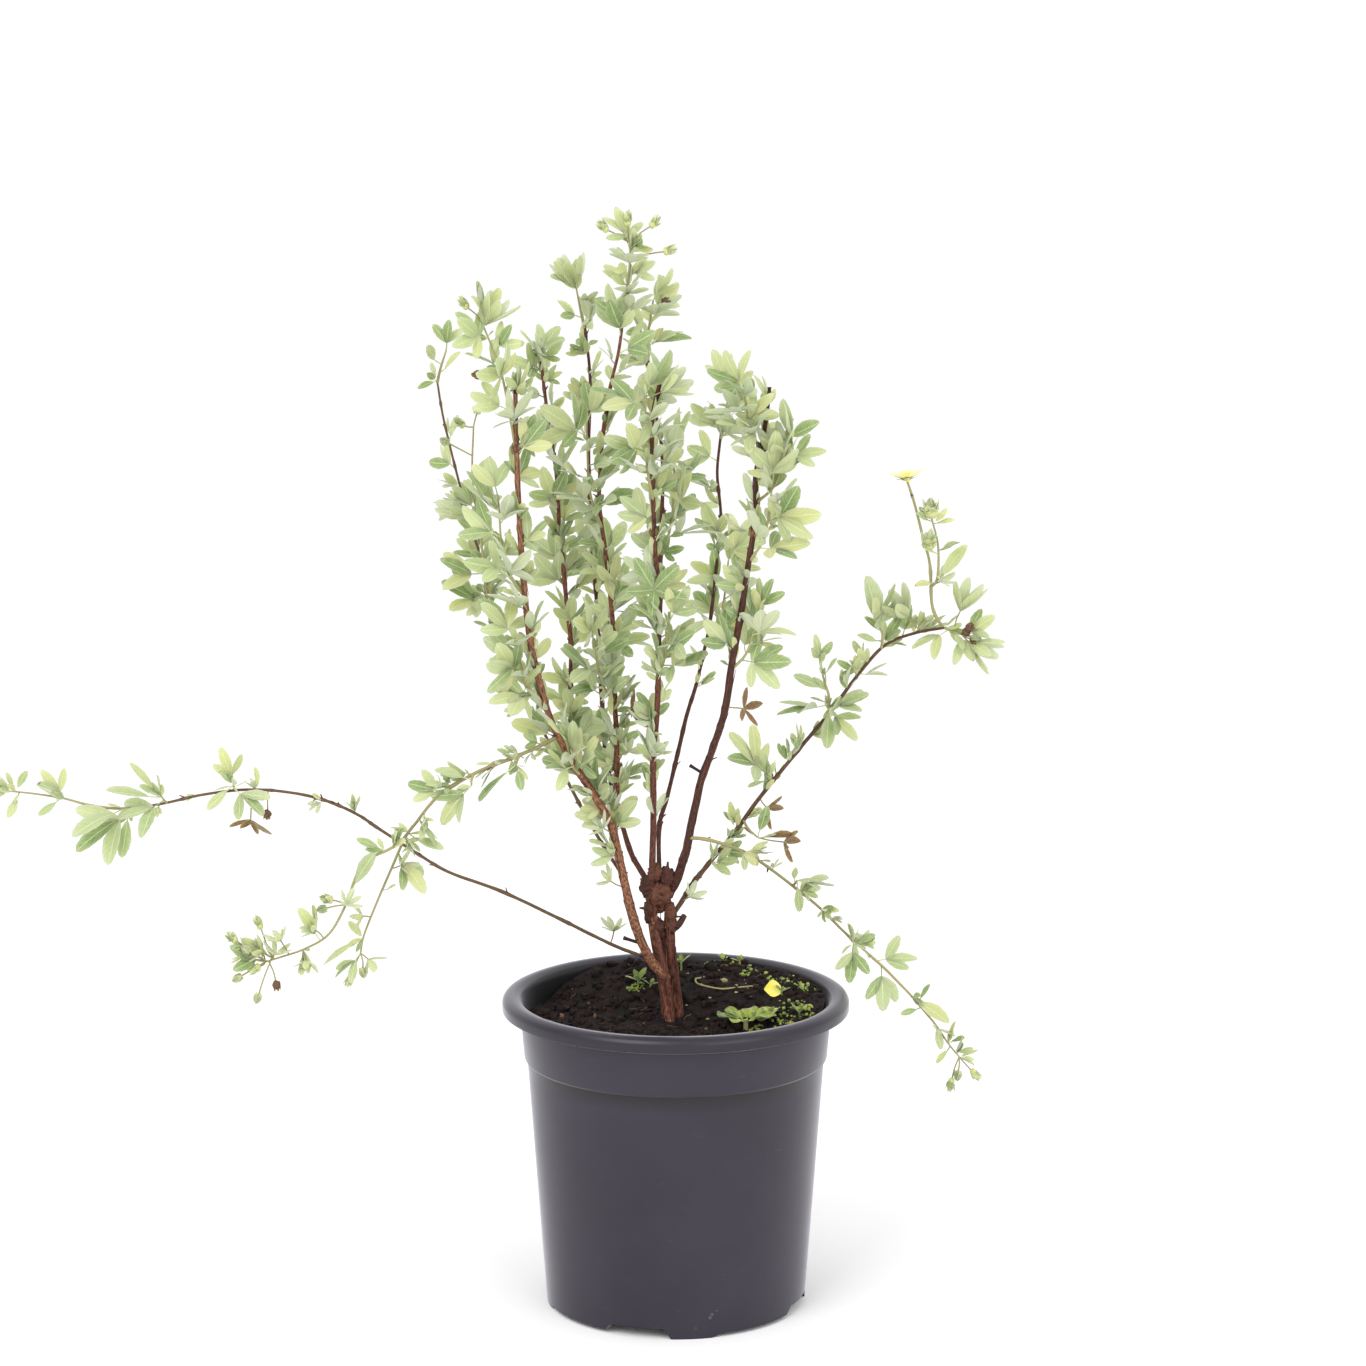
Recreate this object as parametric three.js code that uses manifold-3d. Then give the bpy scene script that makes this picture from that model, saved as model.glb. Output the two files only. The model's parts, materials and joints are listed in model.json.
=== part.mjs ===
// A potted shrubby cinquefoil: a young flowering shrub in a round plastic nursery pot.
// Millimetres, +Z up. The origin is the middle of the pot's foot, on the surface it stands on.
// -Y is the front. One long low branch goes out to the left, -X, and one trails down to the right.

import * as THREE from "three";
import { mergeVertices } from "three/addons/utils/BufferGeometryUtils.js";
import Module from "manifold-3d";

const wasm = await Module();
wasm.setup();

// Clearance between pieces that touch on the real plant.
const GAP = 0.3;

// The pot: a three litre nursery pot with a step in its wall and a rolled lip.
const POT = {
  height: 173,
  rimRadius: 95,
  footRadius: 71.5,
  footRing: 3,
  wall: 1.6,
  stepHeight: 137.5,
  stepRadius: 81.4,
  stepLedge: 1,
  bandRadius: 83,
  floorHeight: 6,
  floorThickness: 2,
  floorFillet: 3,
  padRadius: 20,
  padSlope: 6,
  segments: 32,
};

// The lip's section, from the band outside to the wall inside: in from the rim, and down from it.
const LIP_SECTION = [
  [9.4, 4.5], [7.6, 2.4], [3.2, 2.6], [1.8, 4.4], [1.8, 8], [0, 8],
  [0, 3], [1.2, 1], [3.6, 0], [7, 0], [9.8, 1.4], [11, 5],
];

// Drainage: notches through the foot, shallow recesses between them and holes in the floor.
const FOOT_NOTCH = { count: 4, first: -17, width: 27, height: 6 };
const FOOT_RECESS = { count: 4, first: 40, width: 44, height: 2 };
const FOOT_CUT = { inside: 5, outside: 8, below: 1, arcSteps: 6 };
const DRAIN_HOLE = { count: 6, radius: 4.5, circle: 46, sides: 8 };

// The potting soil: level at the front and heaped towards the back right, where it nears the lip.
// The heap rises between two places along its own direction.
const SOIL = {
  level: 158,
  heap: 13,
  heapTowards: [0.55, 0.83],
  heapFrom: -12,
  heapTo: 36,
  settle: 0.5,
  radius: 82.4,
  rings: [66, 50, 34, 17],
};

// The leaf: a stalk and one, three or five narrow leaflets in one plane.
const LEAF = {
  thickness: 0.9,
  stalkHalfWidth: 0.45,
  stalkShare: 0.24,
  widthShare: 0.38,
  widestAt: 0.55,
  notch: 1.3,
};

// Leaflet directions from the stalk's line, in degrees, and their lengths against the middle one.
const LEAFLETS = {
  1: [[0, 1]],
  3: [[-40, 0.88], [0, 1], [40, 0.88]],
  5: [[-80, 0.7], [-39, 0.9], [0, 1], [39, 0.9], [80, 0.7]],
};

// A flower bud is a small pointed ball on a stalk.
const BUD = { radius: 2.6, length: 3.6 };

// A shoot: its twig, and the bend between its foot and its tip where it leaves a stem.
const SHOOT = { footRadius: 0.95, tipRadius: 0.7, sides: 4, footShare: 0.4, bend: 25 };

// Leaves that follow a rule: how far they open from the shoot in degrees, the last one less, how
// much each leaf of three is shorter, how its blade rolls and where the lowest leaf stands.
const SPRIG = { open: 58, openLast: 22, openStep: 5, shorter: 0.12, roll: 25, from: 0.3 };

// How leaves share the room in the crown: turns tried before a leaf is left out, and the balls
// that stand for a leaflet, at these shares of its length.
const ROOM = {
  tries: 24,
  turn: 25,
  goldenAngle: 137.5,
  leafRadius: 3.1,
  leafPlaces: [0.4, 0.68, 0.94],
  stemMargin: 1,
  stemSteps: 5,
};

// The side that blades turn to: upwards and to the front.
const SKY = new THREE.Vector3(0.1, -0.62, 0.78);

const BARK = { color: 0x6b3f30, roughness: 0.8, metalness: 0 };
const FOLIAGE = { color: 0x96ac74, roughness: 0.65, metalness: 0 };

const plant = new THREE.Group();
const occupied = [];

const radians = THREE.MathUtils.degToRad;
const point = (values) => new THREE.Vector3(...values);

/** Turns a closed three.js geometry into a solid that can be cut and joined. */
function toSolid(geometry) {
  geometry.deleteAttribute("normal");
  geometry.deleteAttribute("uv");
  const merged = mergeVertices(geometry, 1e-4);
  return new wasm.Manifold(new wasm.Mesh({
    numProp: 3,
    vertProperties: new Float32Array(merged.attributes.position.array),
    triVerts: new Uint32Array(merged.index.array),
  }));
}

/** Gives a solid's surface back as a geometry. */
function toGeometry(solid) {
  const mesh = solid.getMesh();
  const geometry = new THREE.BufferGeometry();
  geometry.setAttribute("position", new THREE.BufferAttribute(mesh.vertProperties, 3));
  geometry.setIndex(new THREE.BufferAttribute(mesh.triVerts, 1));
  geometry.computeVertexNormals();
  return geometry;
}

/** The largest body of a solid, without the crumbs that trimming can leave. */
function largestBody(solid) {
  return solid.decompose().sort((a, b) => b.volume() - a.volume())[0];
}

/** Adds one named piece with its own material. */
function addPiece(name, solid, look) {
  const mesh = new THREE.Mesh(toGeometry(solid), new THREE.MeshStandardMaterial(look));
  mesh.name = name;
  plant.add(mesh);
}

/** The smooth line through a list of points. */
function lineThrough(points) {
  return new THREE.CatmullRomCurve3(points, false, "catmullrom", 0.5);
}

/** Two directions square to a tangent; the second leans to the front. */
function sectionAxes(tangent) {
  const front = new THREE.Vector3(0, -1, 0);
  const out = front.addScaledVector(tangent, -front.dot(tangent)).normalize();
  return [new THREE.Vector3().crossVectors(tangent, out), out];
}

/** A round stem along a line, tapering from one radius to another. */
function stemSolid(points, startRadius, endRadius, sides, spans) {
  const line = lineThrough(points);
  const geometry = new THREE.CylinderGeometry(1, 1, 1, sides, spans);
  const place = geometry.attributes.position;
  for (let i = 0; i < place.count; i += 1) {
    const along = place.getY(i) + 0.5;
    const radius = THREE.MathUtils.lerp(startRadius, endRadius, along);
    const [side, out] = sectionAxes(line.getTangent(along));
    const vertex = line.getPoint(along);
    vertex.addScaledVector(side, radius * place.getX(i));
    vertex.addScaledVector(out, radius * place.getZ(i));
    place.setXYZ(i, vertex.x, vertex.y, vertex.z);
  }
  return toSolid(geometry);
}

/** A ring sector standing on the surface, for the cuts in the foot. */
function footCut(middle, width, height) {
  const from = radians(middle - width / 2 - 90);
  const to = radians(middle + width / 2 - 90);
  const shape = new THREE.Shape();
  shape.absarc(0, 0, POT.footRadius + FOOT_CUT.outside, from, to, false);
  shape.absarc(0, 0, POT.footRadius - FOOT_CUT.inside, to, from, true);
  const geometry = new THREE.ExtrudeGeometry(shape, {
    depth: height + FOOT_CUT.below,
    bevelEnabled: false,
    curveSegments: FOOT_CUT.arcSteps,
  });
  geometry.translate(0, 0, -FOOT_CUT.below);
  return toSolid(geometry);
}

/** A closed body of revolution about Z from a profile of radius and height pairs. */
function turned(profile) {
  const points = profile.map(([radius, height]) => new THREE.Vector2(radius, height));
  return new THREE.LatheGeometry(points, POT.segments).rotateX(Math.PI / 2);
}

/** The pot: wall with a step, rolled lip, raised floor, middle pad and drainage. */
function potSolid() {
  const innerFloor = POT.floorHeight + POT.floorThickness;
  const innerFoot = POT.footRadius - POT.wall;
  let pot = toSolid(turned([
    [0, 0],
    [POT.padRadius, 0],
    [POT.padRadius + POT.padSlope, POT.floorHeight],
    [POT.footRadius - 2 * POT.footRing, POT.floorHeight],
    [POT.footRadius - POT.footRing, 0],
    [POT.footRadius, 0],
    [POT.stepRadius, POT.stepHeight],
    [POT.bandRadius, POT.stepHeight + POT.stepLedge],
    ...LIP_SECTION.map(([inwards, down]) => [POT.rimRadius - inwards, POT.height - down]),
    [POT.bandRadius - POT.wall, POT.stepHeight + 2 * POT.stepLedge],
    [POT.stepRadius - POT.wall, POT.stepHeight - POT.stepLedge],
    [innerFoot, innerFloor + POT.floorFillet],
    [innerFoot - POT.floorFillet, innerFloor],
    [POT.padRadius + POT.padSlope + POT.stepLedge, innerFloor],
    [POT.padRadius + POT.stepLedge, POT.floorThickness],
    [0, POT.floorThickness],
  ]));
  for (const cut of [FOOT_NOTCH, FOOT_RECESS]) {
    for (let i = 0; i < cut.count; i += 1) {
      pot = pot.subtract(footCut(cut.first + (360 / cut.count) * i, cut.width, cut.height));
    }
  }
  const { count, radius, circle, sides } = DRAIN_HOLE;
  for (let i = 0; i < count; i += 1) {
    const angle = (2 * Math.PI * (i + 0.5)) / count;
    const hole = new THREE.CylinderGeometry(radius, radius, 2 * innerFloor, sides);
    hole.rotateX(Math.PI / 2);
    hole.translate(circle * Math.cos(angle), circle * Math.sin(angle), innerFloor);
    pot = pot.subtract(toSolid(hole));
  }
  return pot;
}

/** The soil's surface height over a place in the pot. */
function soilHeight(x, y) {
  const along = SOIL.heapTowards[0] * x + SOIL.heapTowards[1] * y;
  return SOIL.level + SOIL.heap * THREE.MathUtils.smoothstep(along, SOIL.heapFrom, SOIL.heapTo);
}

/** The soil body: it fills the pot from the floor to its own sloping surface. */
function soilSolid() {
  const wallGap = POT.wall + SOIL.settle;
  const base = POT.floorHeight + POT.floorThickness + SOIL.settle;
  const geometry = turned([
    [0, POT.floorThickness + SOIL.settle],
    [POT.padRadius, POT.floorThickness + SOIL.settle],
    [POT.padRadius + POT.padSlope + SOIL.settle, base],
    [POT.footRadius - wallGap - POT.floorFillet, base],
    [POT.footRadius - wallGap, base + POT.floorFillet],
    [POT.stepRadius - wallGap, POT.stepHeight - POT.stepLedge],
    [POT.bandRadius - wallGap, POT.stepHeight + 2 * POT.stepLedge],
    [SOIL.radius, POT.height],
    ...SOIL.rings.map((radius) => [radius, POT.height]),
    [0, POT.height],
  ]);
  const place = geometry.attributes.position;
  for (let i = 0; i < place.count; i += 1) {
    if (place.getZ(i) > POT.height - SOIL.settle) {
      place.setZ(i, soilHeight(place.getX(i), place.getY(i)));
    }
  }
  return toSolid(geometry);
}

// The crown: a short trunk of old wood that ends in a gnarled knot.
const TRUNK = {
  points: [[-2, 0, 145], [-3, 0, 165], [-5, 0, 195], [-8, 0, 222]],
  radii: [6, 5.2],
  sides: 9,
  spans: 8,
};
const KNOTS = [
  { at: [-10, 0, 230], size: [9.6, 8.6, 12.5], detail: 1 },
  { at: [-4, -2, 221], size: [6.5, 6, 6], detail: 0 },
  { at: [-15, 2, 237], size: [6.4, 6, 7], detail: 0 },
];

/** A stem's points with its two ends drawn out by a margin. */
function drawnOut(points, margin) {
  const path = points.map(point);
  const last = path.length - 1;
  const foot = path[0].clone().sub(path[1]).setLength(margin);
  const tip = path[last].clone().sub(path[last - 1]).setLength(margin);
  path[0].add(foot);
  path[last].add(tip);
  return path;
}

/** The trunk and its knots in one body, grown outwards by a margin. */
function crownSolid(margin) {
  const path = drawnOut(TRUNK.points, margin);
  const [foot, top] = TRUNK.radii;
  let crown = stemSolid(path, foot + margin, top + margin, TRUNK.sides, TRUNK.spans);
  for (const { at, size, detail } of KNOTS) {
    const ball = new THREE.IcosahedronGeometry(1, detail);
    ball.scale(size[0] + margin, size[1] + margin, size[2] + margin);
    ball.translate(...at);
    crown = crown.add(toSolid(ball));
  }
  return crown;
}

// The woody stems, as points along each one, with the radius at its foot and its tip.
// Each starts on its parent, and the last number is the sides of its section.
const STEMS = {
  outer_left_stem: {
    parent: "crown",
    radii: [2.9, 1.3],
    sides: 7,
    points: [
      [-5, -3, 182], [-14, -7, 194], [-21, -10, 211], [-26, -13, 231], [-30, -15, 250],
      [-35, -18, 272], [-46, -22, 292], [-55, -26, 307], [-66, -30, 330], [-74, -34, 360],
      [-78, -36, 386], [-81, -36, 418], [-83, -34, 460], [-84, -30, 505],
    ],
  },
  second_left_stem: {
    parent: "outer_left_stem",
    radii: [1.7, 0.9],
    sides: 5,
    points: [
      [-46, -22, 292], [-53, -8, 305], [-56, 4, 322], [-57, 12, 340], [-57, 20, 363],
      [-60, 26, 392], [-63, 30, 425], [-65, 32, 457], [-69, 34, 484], [-73, 36, 516],
    ],
  },
  back_left_stem: {
    parent: "crown",
    radii: [1.7, 0.8],
    sides: 5,
    points: [
      [-16, 3, 236], [-25, 14, 250], [-33, 30, 275], [-38, 42, 293], [-40, 50, 313],
      [-42, 58, 343], [-44, 64, 381], [-47, 66, 420], [-48, 66, 464], [-47, 64, 503],
      [-50, 61, 536],
    ],
  },
  middle_left_stem: {
    parent: "outer_left_stem",
    radii: [1.8, 0.8],
    sides: 5,
    points: [
      [-30, -15, 250], [-33, -4, 264], [-32, 2, 286], [-32, 4, 314], [-33, 6, 335],
      [-33, 8, 362], [-35, 10, 389], [-38, 10, 417], [-41, 10, 444], [-39, 8, 477],
      [-35, 6, 504], [-30, 4, 526], [-27, 2, 550],
    ],
  },
  middle_stem: {
    parent: "crown",
    radii: [1.9, 1.1],
    sides: 6,
    points: [
      [-13, -3, 238], [-12, -9, 272], [-12, -16, 308], [-10, -20, 332], [-9, -24, 362],
      [-9, -26, 395], [-11, -28, 427], [-12, -30, 460], [-12, -32, 492], [-8, -34, 512],
    ],
  },
  middle_back_stem: {
    parent: "middle_stem",
    radii: [1.3, 0.8],
    sides: 5,
    points: [
      [-9, -24, 370], [-8, -10, 393], [-8, 4, 418], [-7, 14, 449], [-8, 20, 475],
      [-13, 24, 500], [-16, 26, 524],
    ],
  },
  slender_right_stem: {
    parent: "crown",
    radii: [1.4, 0.8],
    sides: 5,
    points: [
      [-9, 4, 238], [-9, 16, 263], [-5, 26, 276], [1, 38, 299], [6, 46, 319],
      [11, 54, 334], [15, 60, 350], [19, 66, 368], [23, 72, 402], [25, 74, 427],
      [23, 74, 452], [26, 72, 480],
    ],
  },
  right_stem: {
    parent: "crown",
    radii: [2.7, 1.1],
    sides: 7,
    points: [
      [-4, 3, 227], [1, 0, 238], [6, -6, 256], [9, -10, 272], [14, -16, 296],
      [20, -22, 314], [26, -28, 335], [30, -36, 362], [35, -42, 393], [39, -46, 422],
      [42, -48, 441], [42, -48, 463], [46, -46, 484], [49, -44, 508],
    ],
  },
  long_right_stem: {
    parent: "crown",
    radii: [1.6, 0.8],
    sides: 5,
    points: [
      [-6, 0, 212], [1, 4, 220], [9, 9, 232], [18, 12, 243], [31, 16, 258],
      [47, 22, 279], [68, 28, 304], [85, 32, 324], [101, 36, 345], [115, 38, 360],
      [131, 36, 367], [147, 30, 371],
    ],
  },
  flower_stalk: {
    parent: "long_right_stem",
    radii: [0.9, 0.7],
    sides: 5,
    points: [
      [146, 31, 371], [140, 27, 383], [138, 22, 407], [134, 20, 422], [129, 18, 441],
      [125, 16, 453],
    ],
  },
  trailing_right_stem: {
    parent: "right_stem",
    radii: [1.1, 0.7],
    sides: 5,
    points: [
      [7, -8, 262], [16, -12, 262], [26, -6, 258], [37, 6, 251], [46, 18, 243],
      [58, 28, 232], [80, 38, 212], [93, 42, 198], [108, 42, 184],
    ],
  },
  arching_left_stem: {
    parent: "crown",
    radii: [1.1, 0.75],
    sides: 5,
    points: [
      [-5, 3, 188], [-16, 12, 190], [-32, 16, 195], [-48, 19, 202], [-64, 20, 210],
      [-96, 22, 225], [-124, 20, 236], [-140, 18, 246], [-163, 12, 263], [-173, 8, 271],
      [-189, 2, 280], [-208, -4, 286], [-231, -10, 289], [-255, -14, 287],
      [-274, -16, 283], [-290, -16, 280],
    ],
  },
  drooping_left_stem: {
    parent: "outer_left_stem",
    radii: [1.2, 0.8],
    sides: 5,
    points: [
      [-62, -28, 322], [-74, -35, 317], [-87, -39, 312], [-106, -44, 305],
      [-125, -48, 294], [-138, -52, 279], [-146, -54, 269],
    ],
  },
  thin_left_stem: {
    parent: "outer_left_stem",
    radii: [1.1, 0.6],
    sides: 5,
    points: [
      [-29, -14, 243], [-38, -2, 254], [-47, 8, 267], [-58, 16, 286], [-66, 22, 301],
      [-74, 26, 317], [-88, 33, 341], [-96, 38, 363], [-103, 40, 383], [-106, 42, 404],
      [-113, 42, 429], [-119, 40, 453], [-126, 36, 485], [-129, 34, 505],
    ],
  },
};

/** A stem's solid, grown outwards by a margin. */
function stemBody(name, margin) {
  if (name === "crown") {
    return crownSolid(margin);
  }
  const { points, radii, sides } = STEMS[name];
  const path = drawnOut(points, margin);
  return stemSolid(path, radii[0] + margin, radii[1] + margin, sides, points.length);
}

/** Marks the room that a stem takes, as a row of balls along it. */
function occupyStem(points, startRadius, endRadius) {
  const line = lineThrough(points);
  const steps = points.length * ROOM.stemSteps;
  for (let i = 0; i <= steps; i += 1) {
    const radius = THREE.MathUtils.lerp(startRadius, endRadius, i / steps);
    occupied.push({ at: line.getPoint(i / steps), radius: radius + ROOM.stemMargin });
  }
}

/** The outline of a leaf in its own plane, from the foot of its stalk along +Y. */
function leafOutline({ reach, count }) {
  const stalk = reach * LEAF.stalkShare;
  const spread = LEAFLETS[count];
  const outline = [[-LEAF.stalkHalfWidth, 0], [-LEAF.stalkHalfWidth, stalk - LEAF.notch]];
  const onLeaflet = (angle, forward, aside) => {
    const turn = radians(angle);
    return [
      forward * Math.sin(turn) + aside * Math.cos(turn),
      stalk + forward * Math.cos(turn) - aside * Math.sin(turn),
    ];
  };
  spread.forEach(([angle, share], i) => {
    const length = (reach - stalk) * share;
    const halfWidth = length * LEAF.widthShare * 0.5;
    outline.push(onLeaflet(angle, length * LEAF.widestAt, -halfWidth));
    outline.push(onLeaflet(angle, length, 0));
    outline.push(onLeaflet(angle, length * LEAF.widestAt, halfWidth));
    if (i < spread.length - 1) {
      outline.push(onLeaflet((angle + spread[i + 1][0]) / 2, LEAF.notch, 0));
    }
  });
  outline.push([LEAF.stalkHalfWidth, stalk - LEAF.notch], [LEAF.stalkHalfWidth, 0]);
  return outline;
}

/** A leaf's blade: two low cones, base to base, drawn out to the leaf's outline. */
function bladeGeometry(leaf) {
  const outline = leafOutline(leaf);
  const geometry = new THREE.SphereGeometry(1, outline.length, 2);
  const place = geometry.attributes.position;
  const middle = leaf.reach * LEAF.stalkShare;
  const row = outline.length + 1;
  for (let i = 0; i < place.count; i += 1) {
    const [x, y] = outline[(i % row) % outline.length];
    const height = -Math.round(place.getY(i)) * LEAF.thickness * 0.5;
    const onEdge = height === 0;
    place.setXYZ(i, onEdge ? x : 0, onEdge ? y : middle, height);
  }
  return geometry;
}

/** The axes of a leaf: across, along its stalk, and square to its blade. */
function leafAxes(leaf) {
  const across = new THREE.Vector3().crossVectors(leaf.direction, leaf.face).normalize();
  return [across, leaf.direction, new THREE.Vector3().crossVectors(across, leaf.direction)];
}

/** One leaf or bud as a closed body in its place. */
function leafSolid(leaf) {
  const [across, along, square] = leafAxes(leaf);
  const place = new THREE.Matrix4().makeBasis(across, along, square).setPosition(leaf.base);
  if (leaf.count === 0) {
    const radius = LEAF.stalkHalfWidth;
    const stalk = new THREE.CylinderGeometry(radius, radius, leaf.reach, SHOOT.sides);
    stalk.translate(0, leaf.reach / 2, 0);
    const bud = new THREE.IcosahedronGeometry(1, 0);
    bud.scale(BUD.radius, BUD.length, BUD.radius);
    bud.translate(0, leaf.reach, 0);
    return toSolid(stalk.applyMatrix4(place)).add(toSolid(bud.applyMatrix4(place)));
  }
  return toSolid(bladeGeometry(leaf).applyMatrix4(place));
}

/** Balls that cover a leaf's leaflets, for sharing out the room. */
function leafBalls(leaf) {
  const [across, along] = leafAxes(leaf);
  const stalk = leaf.reach * LEAF.stalkShare;
  const balls = [];
  if (leaf.count === 0) {
    return [{ at: leaf.base.clone().addScaledVector(along, leaf.reach), radius: BUD.length }];
  }
  for (const [angle, share] of LEAFLETS[leaf.count]) {
    const length = (leaf.reach - stalk) * share;
    for (const part of ROOM.leafPlaces) {
      const at = leaf.base.clone();
      at.addScaledVector(along, stalk + length * part * Math.cos(radians(angle)));
      at.addScaledVector(across, length * part * Math.sin(radians(angle)));
      balls.push({ at, radius: ROOM.leafRadius });
    }
  }
  return balls;
}

/** Says whether balls keep clear of everything placed so far. */
function isClear(balls) {
  return balls.every((ball) => occupied.every(
    (other) => ball.at.distanceTo(other.at) > ball.radius + other.radius,
  ));
}

/** The way a blade faces: to the sky, square to its stalk and turned about it by a roll. */
function facing(direction, roll) {
  const face = SKY.clone();
  face.addScaledVector(direction, -face.dot(direction)).normalize();
  return face.applyAxisAngle(direction, radians(roll));
}

/** A leaf placed by hand: its lie in the front view, its lean to the front and its reach. */
function leafByHand(line, [along, angle, lean, reach, count, roll = 0]) {
  const direction = new THREE.Vector3(
    Math.cos(radians(angle)) * Math.cos(radians(lean)),
    -Math.sin(radians(lean)),
    Math.sin(radians(angle)) * Math.cos(radians(lean)),
  );
  return { base: line.getPoint(along), direction, reach, count, face: facing(direction, roll) };
}

/** Leaves round a shoot at the golden angle, each turned on until it has room. */
function leavesByRule(line, { leaves, reach, phase = 0, from = SPRIG.from }) {
  const grown = [];
  for (let i = 0; i < leaves; i += 1) {
    const along = from + ((1 - from) * i) / Math.max(1, leaves - 1);
    const base = line.getPoint(along);
    const tangent = line.getTangent(along);
    const [side, out] = sectionAxes(tangent);
    const spread = i === leaves - 1 ? SPRIG.openLast : SPRIG.open;
    for (let tried = 0; tried < ROOM.tries; tried += 1) {
      const turn = radians(phase + i * ROOM.goldenAngle + tried * ROOM.turn);
      const open = radians(spread + SPRIG.openStep * (tried % 3));
      const direction = tangent.clone().multiplyScalar(Math.cos(open));
      direction.addScaledVector(side, Math.sin(open) * Math.cos(turn));
      direction.addScaledVector(out, Math.sin(open) * Math.sin(turn));
      direction.normalize();
      const leaf = {
        base,
        direction,
        reach: reach * (1 - SPRIG.shorter * (i % 3)),
        count: i % 3 === 0 ? 5 : 3,
        face: facing(direction, SPRIG.roll * ((i + tried) % 3 - 1)),
      };
      if (isClear(leafBalls(leaf))) {
        occupied.push(...leafBalls(leaf));
        grown.push(leaf);
        break;
      }
    }
  }
  return grown;
}

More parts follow.
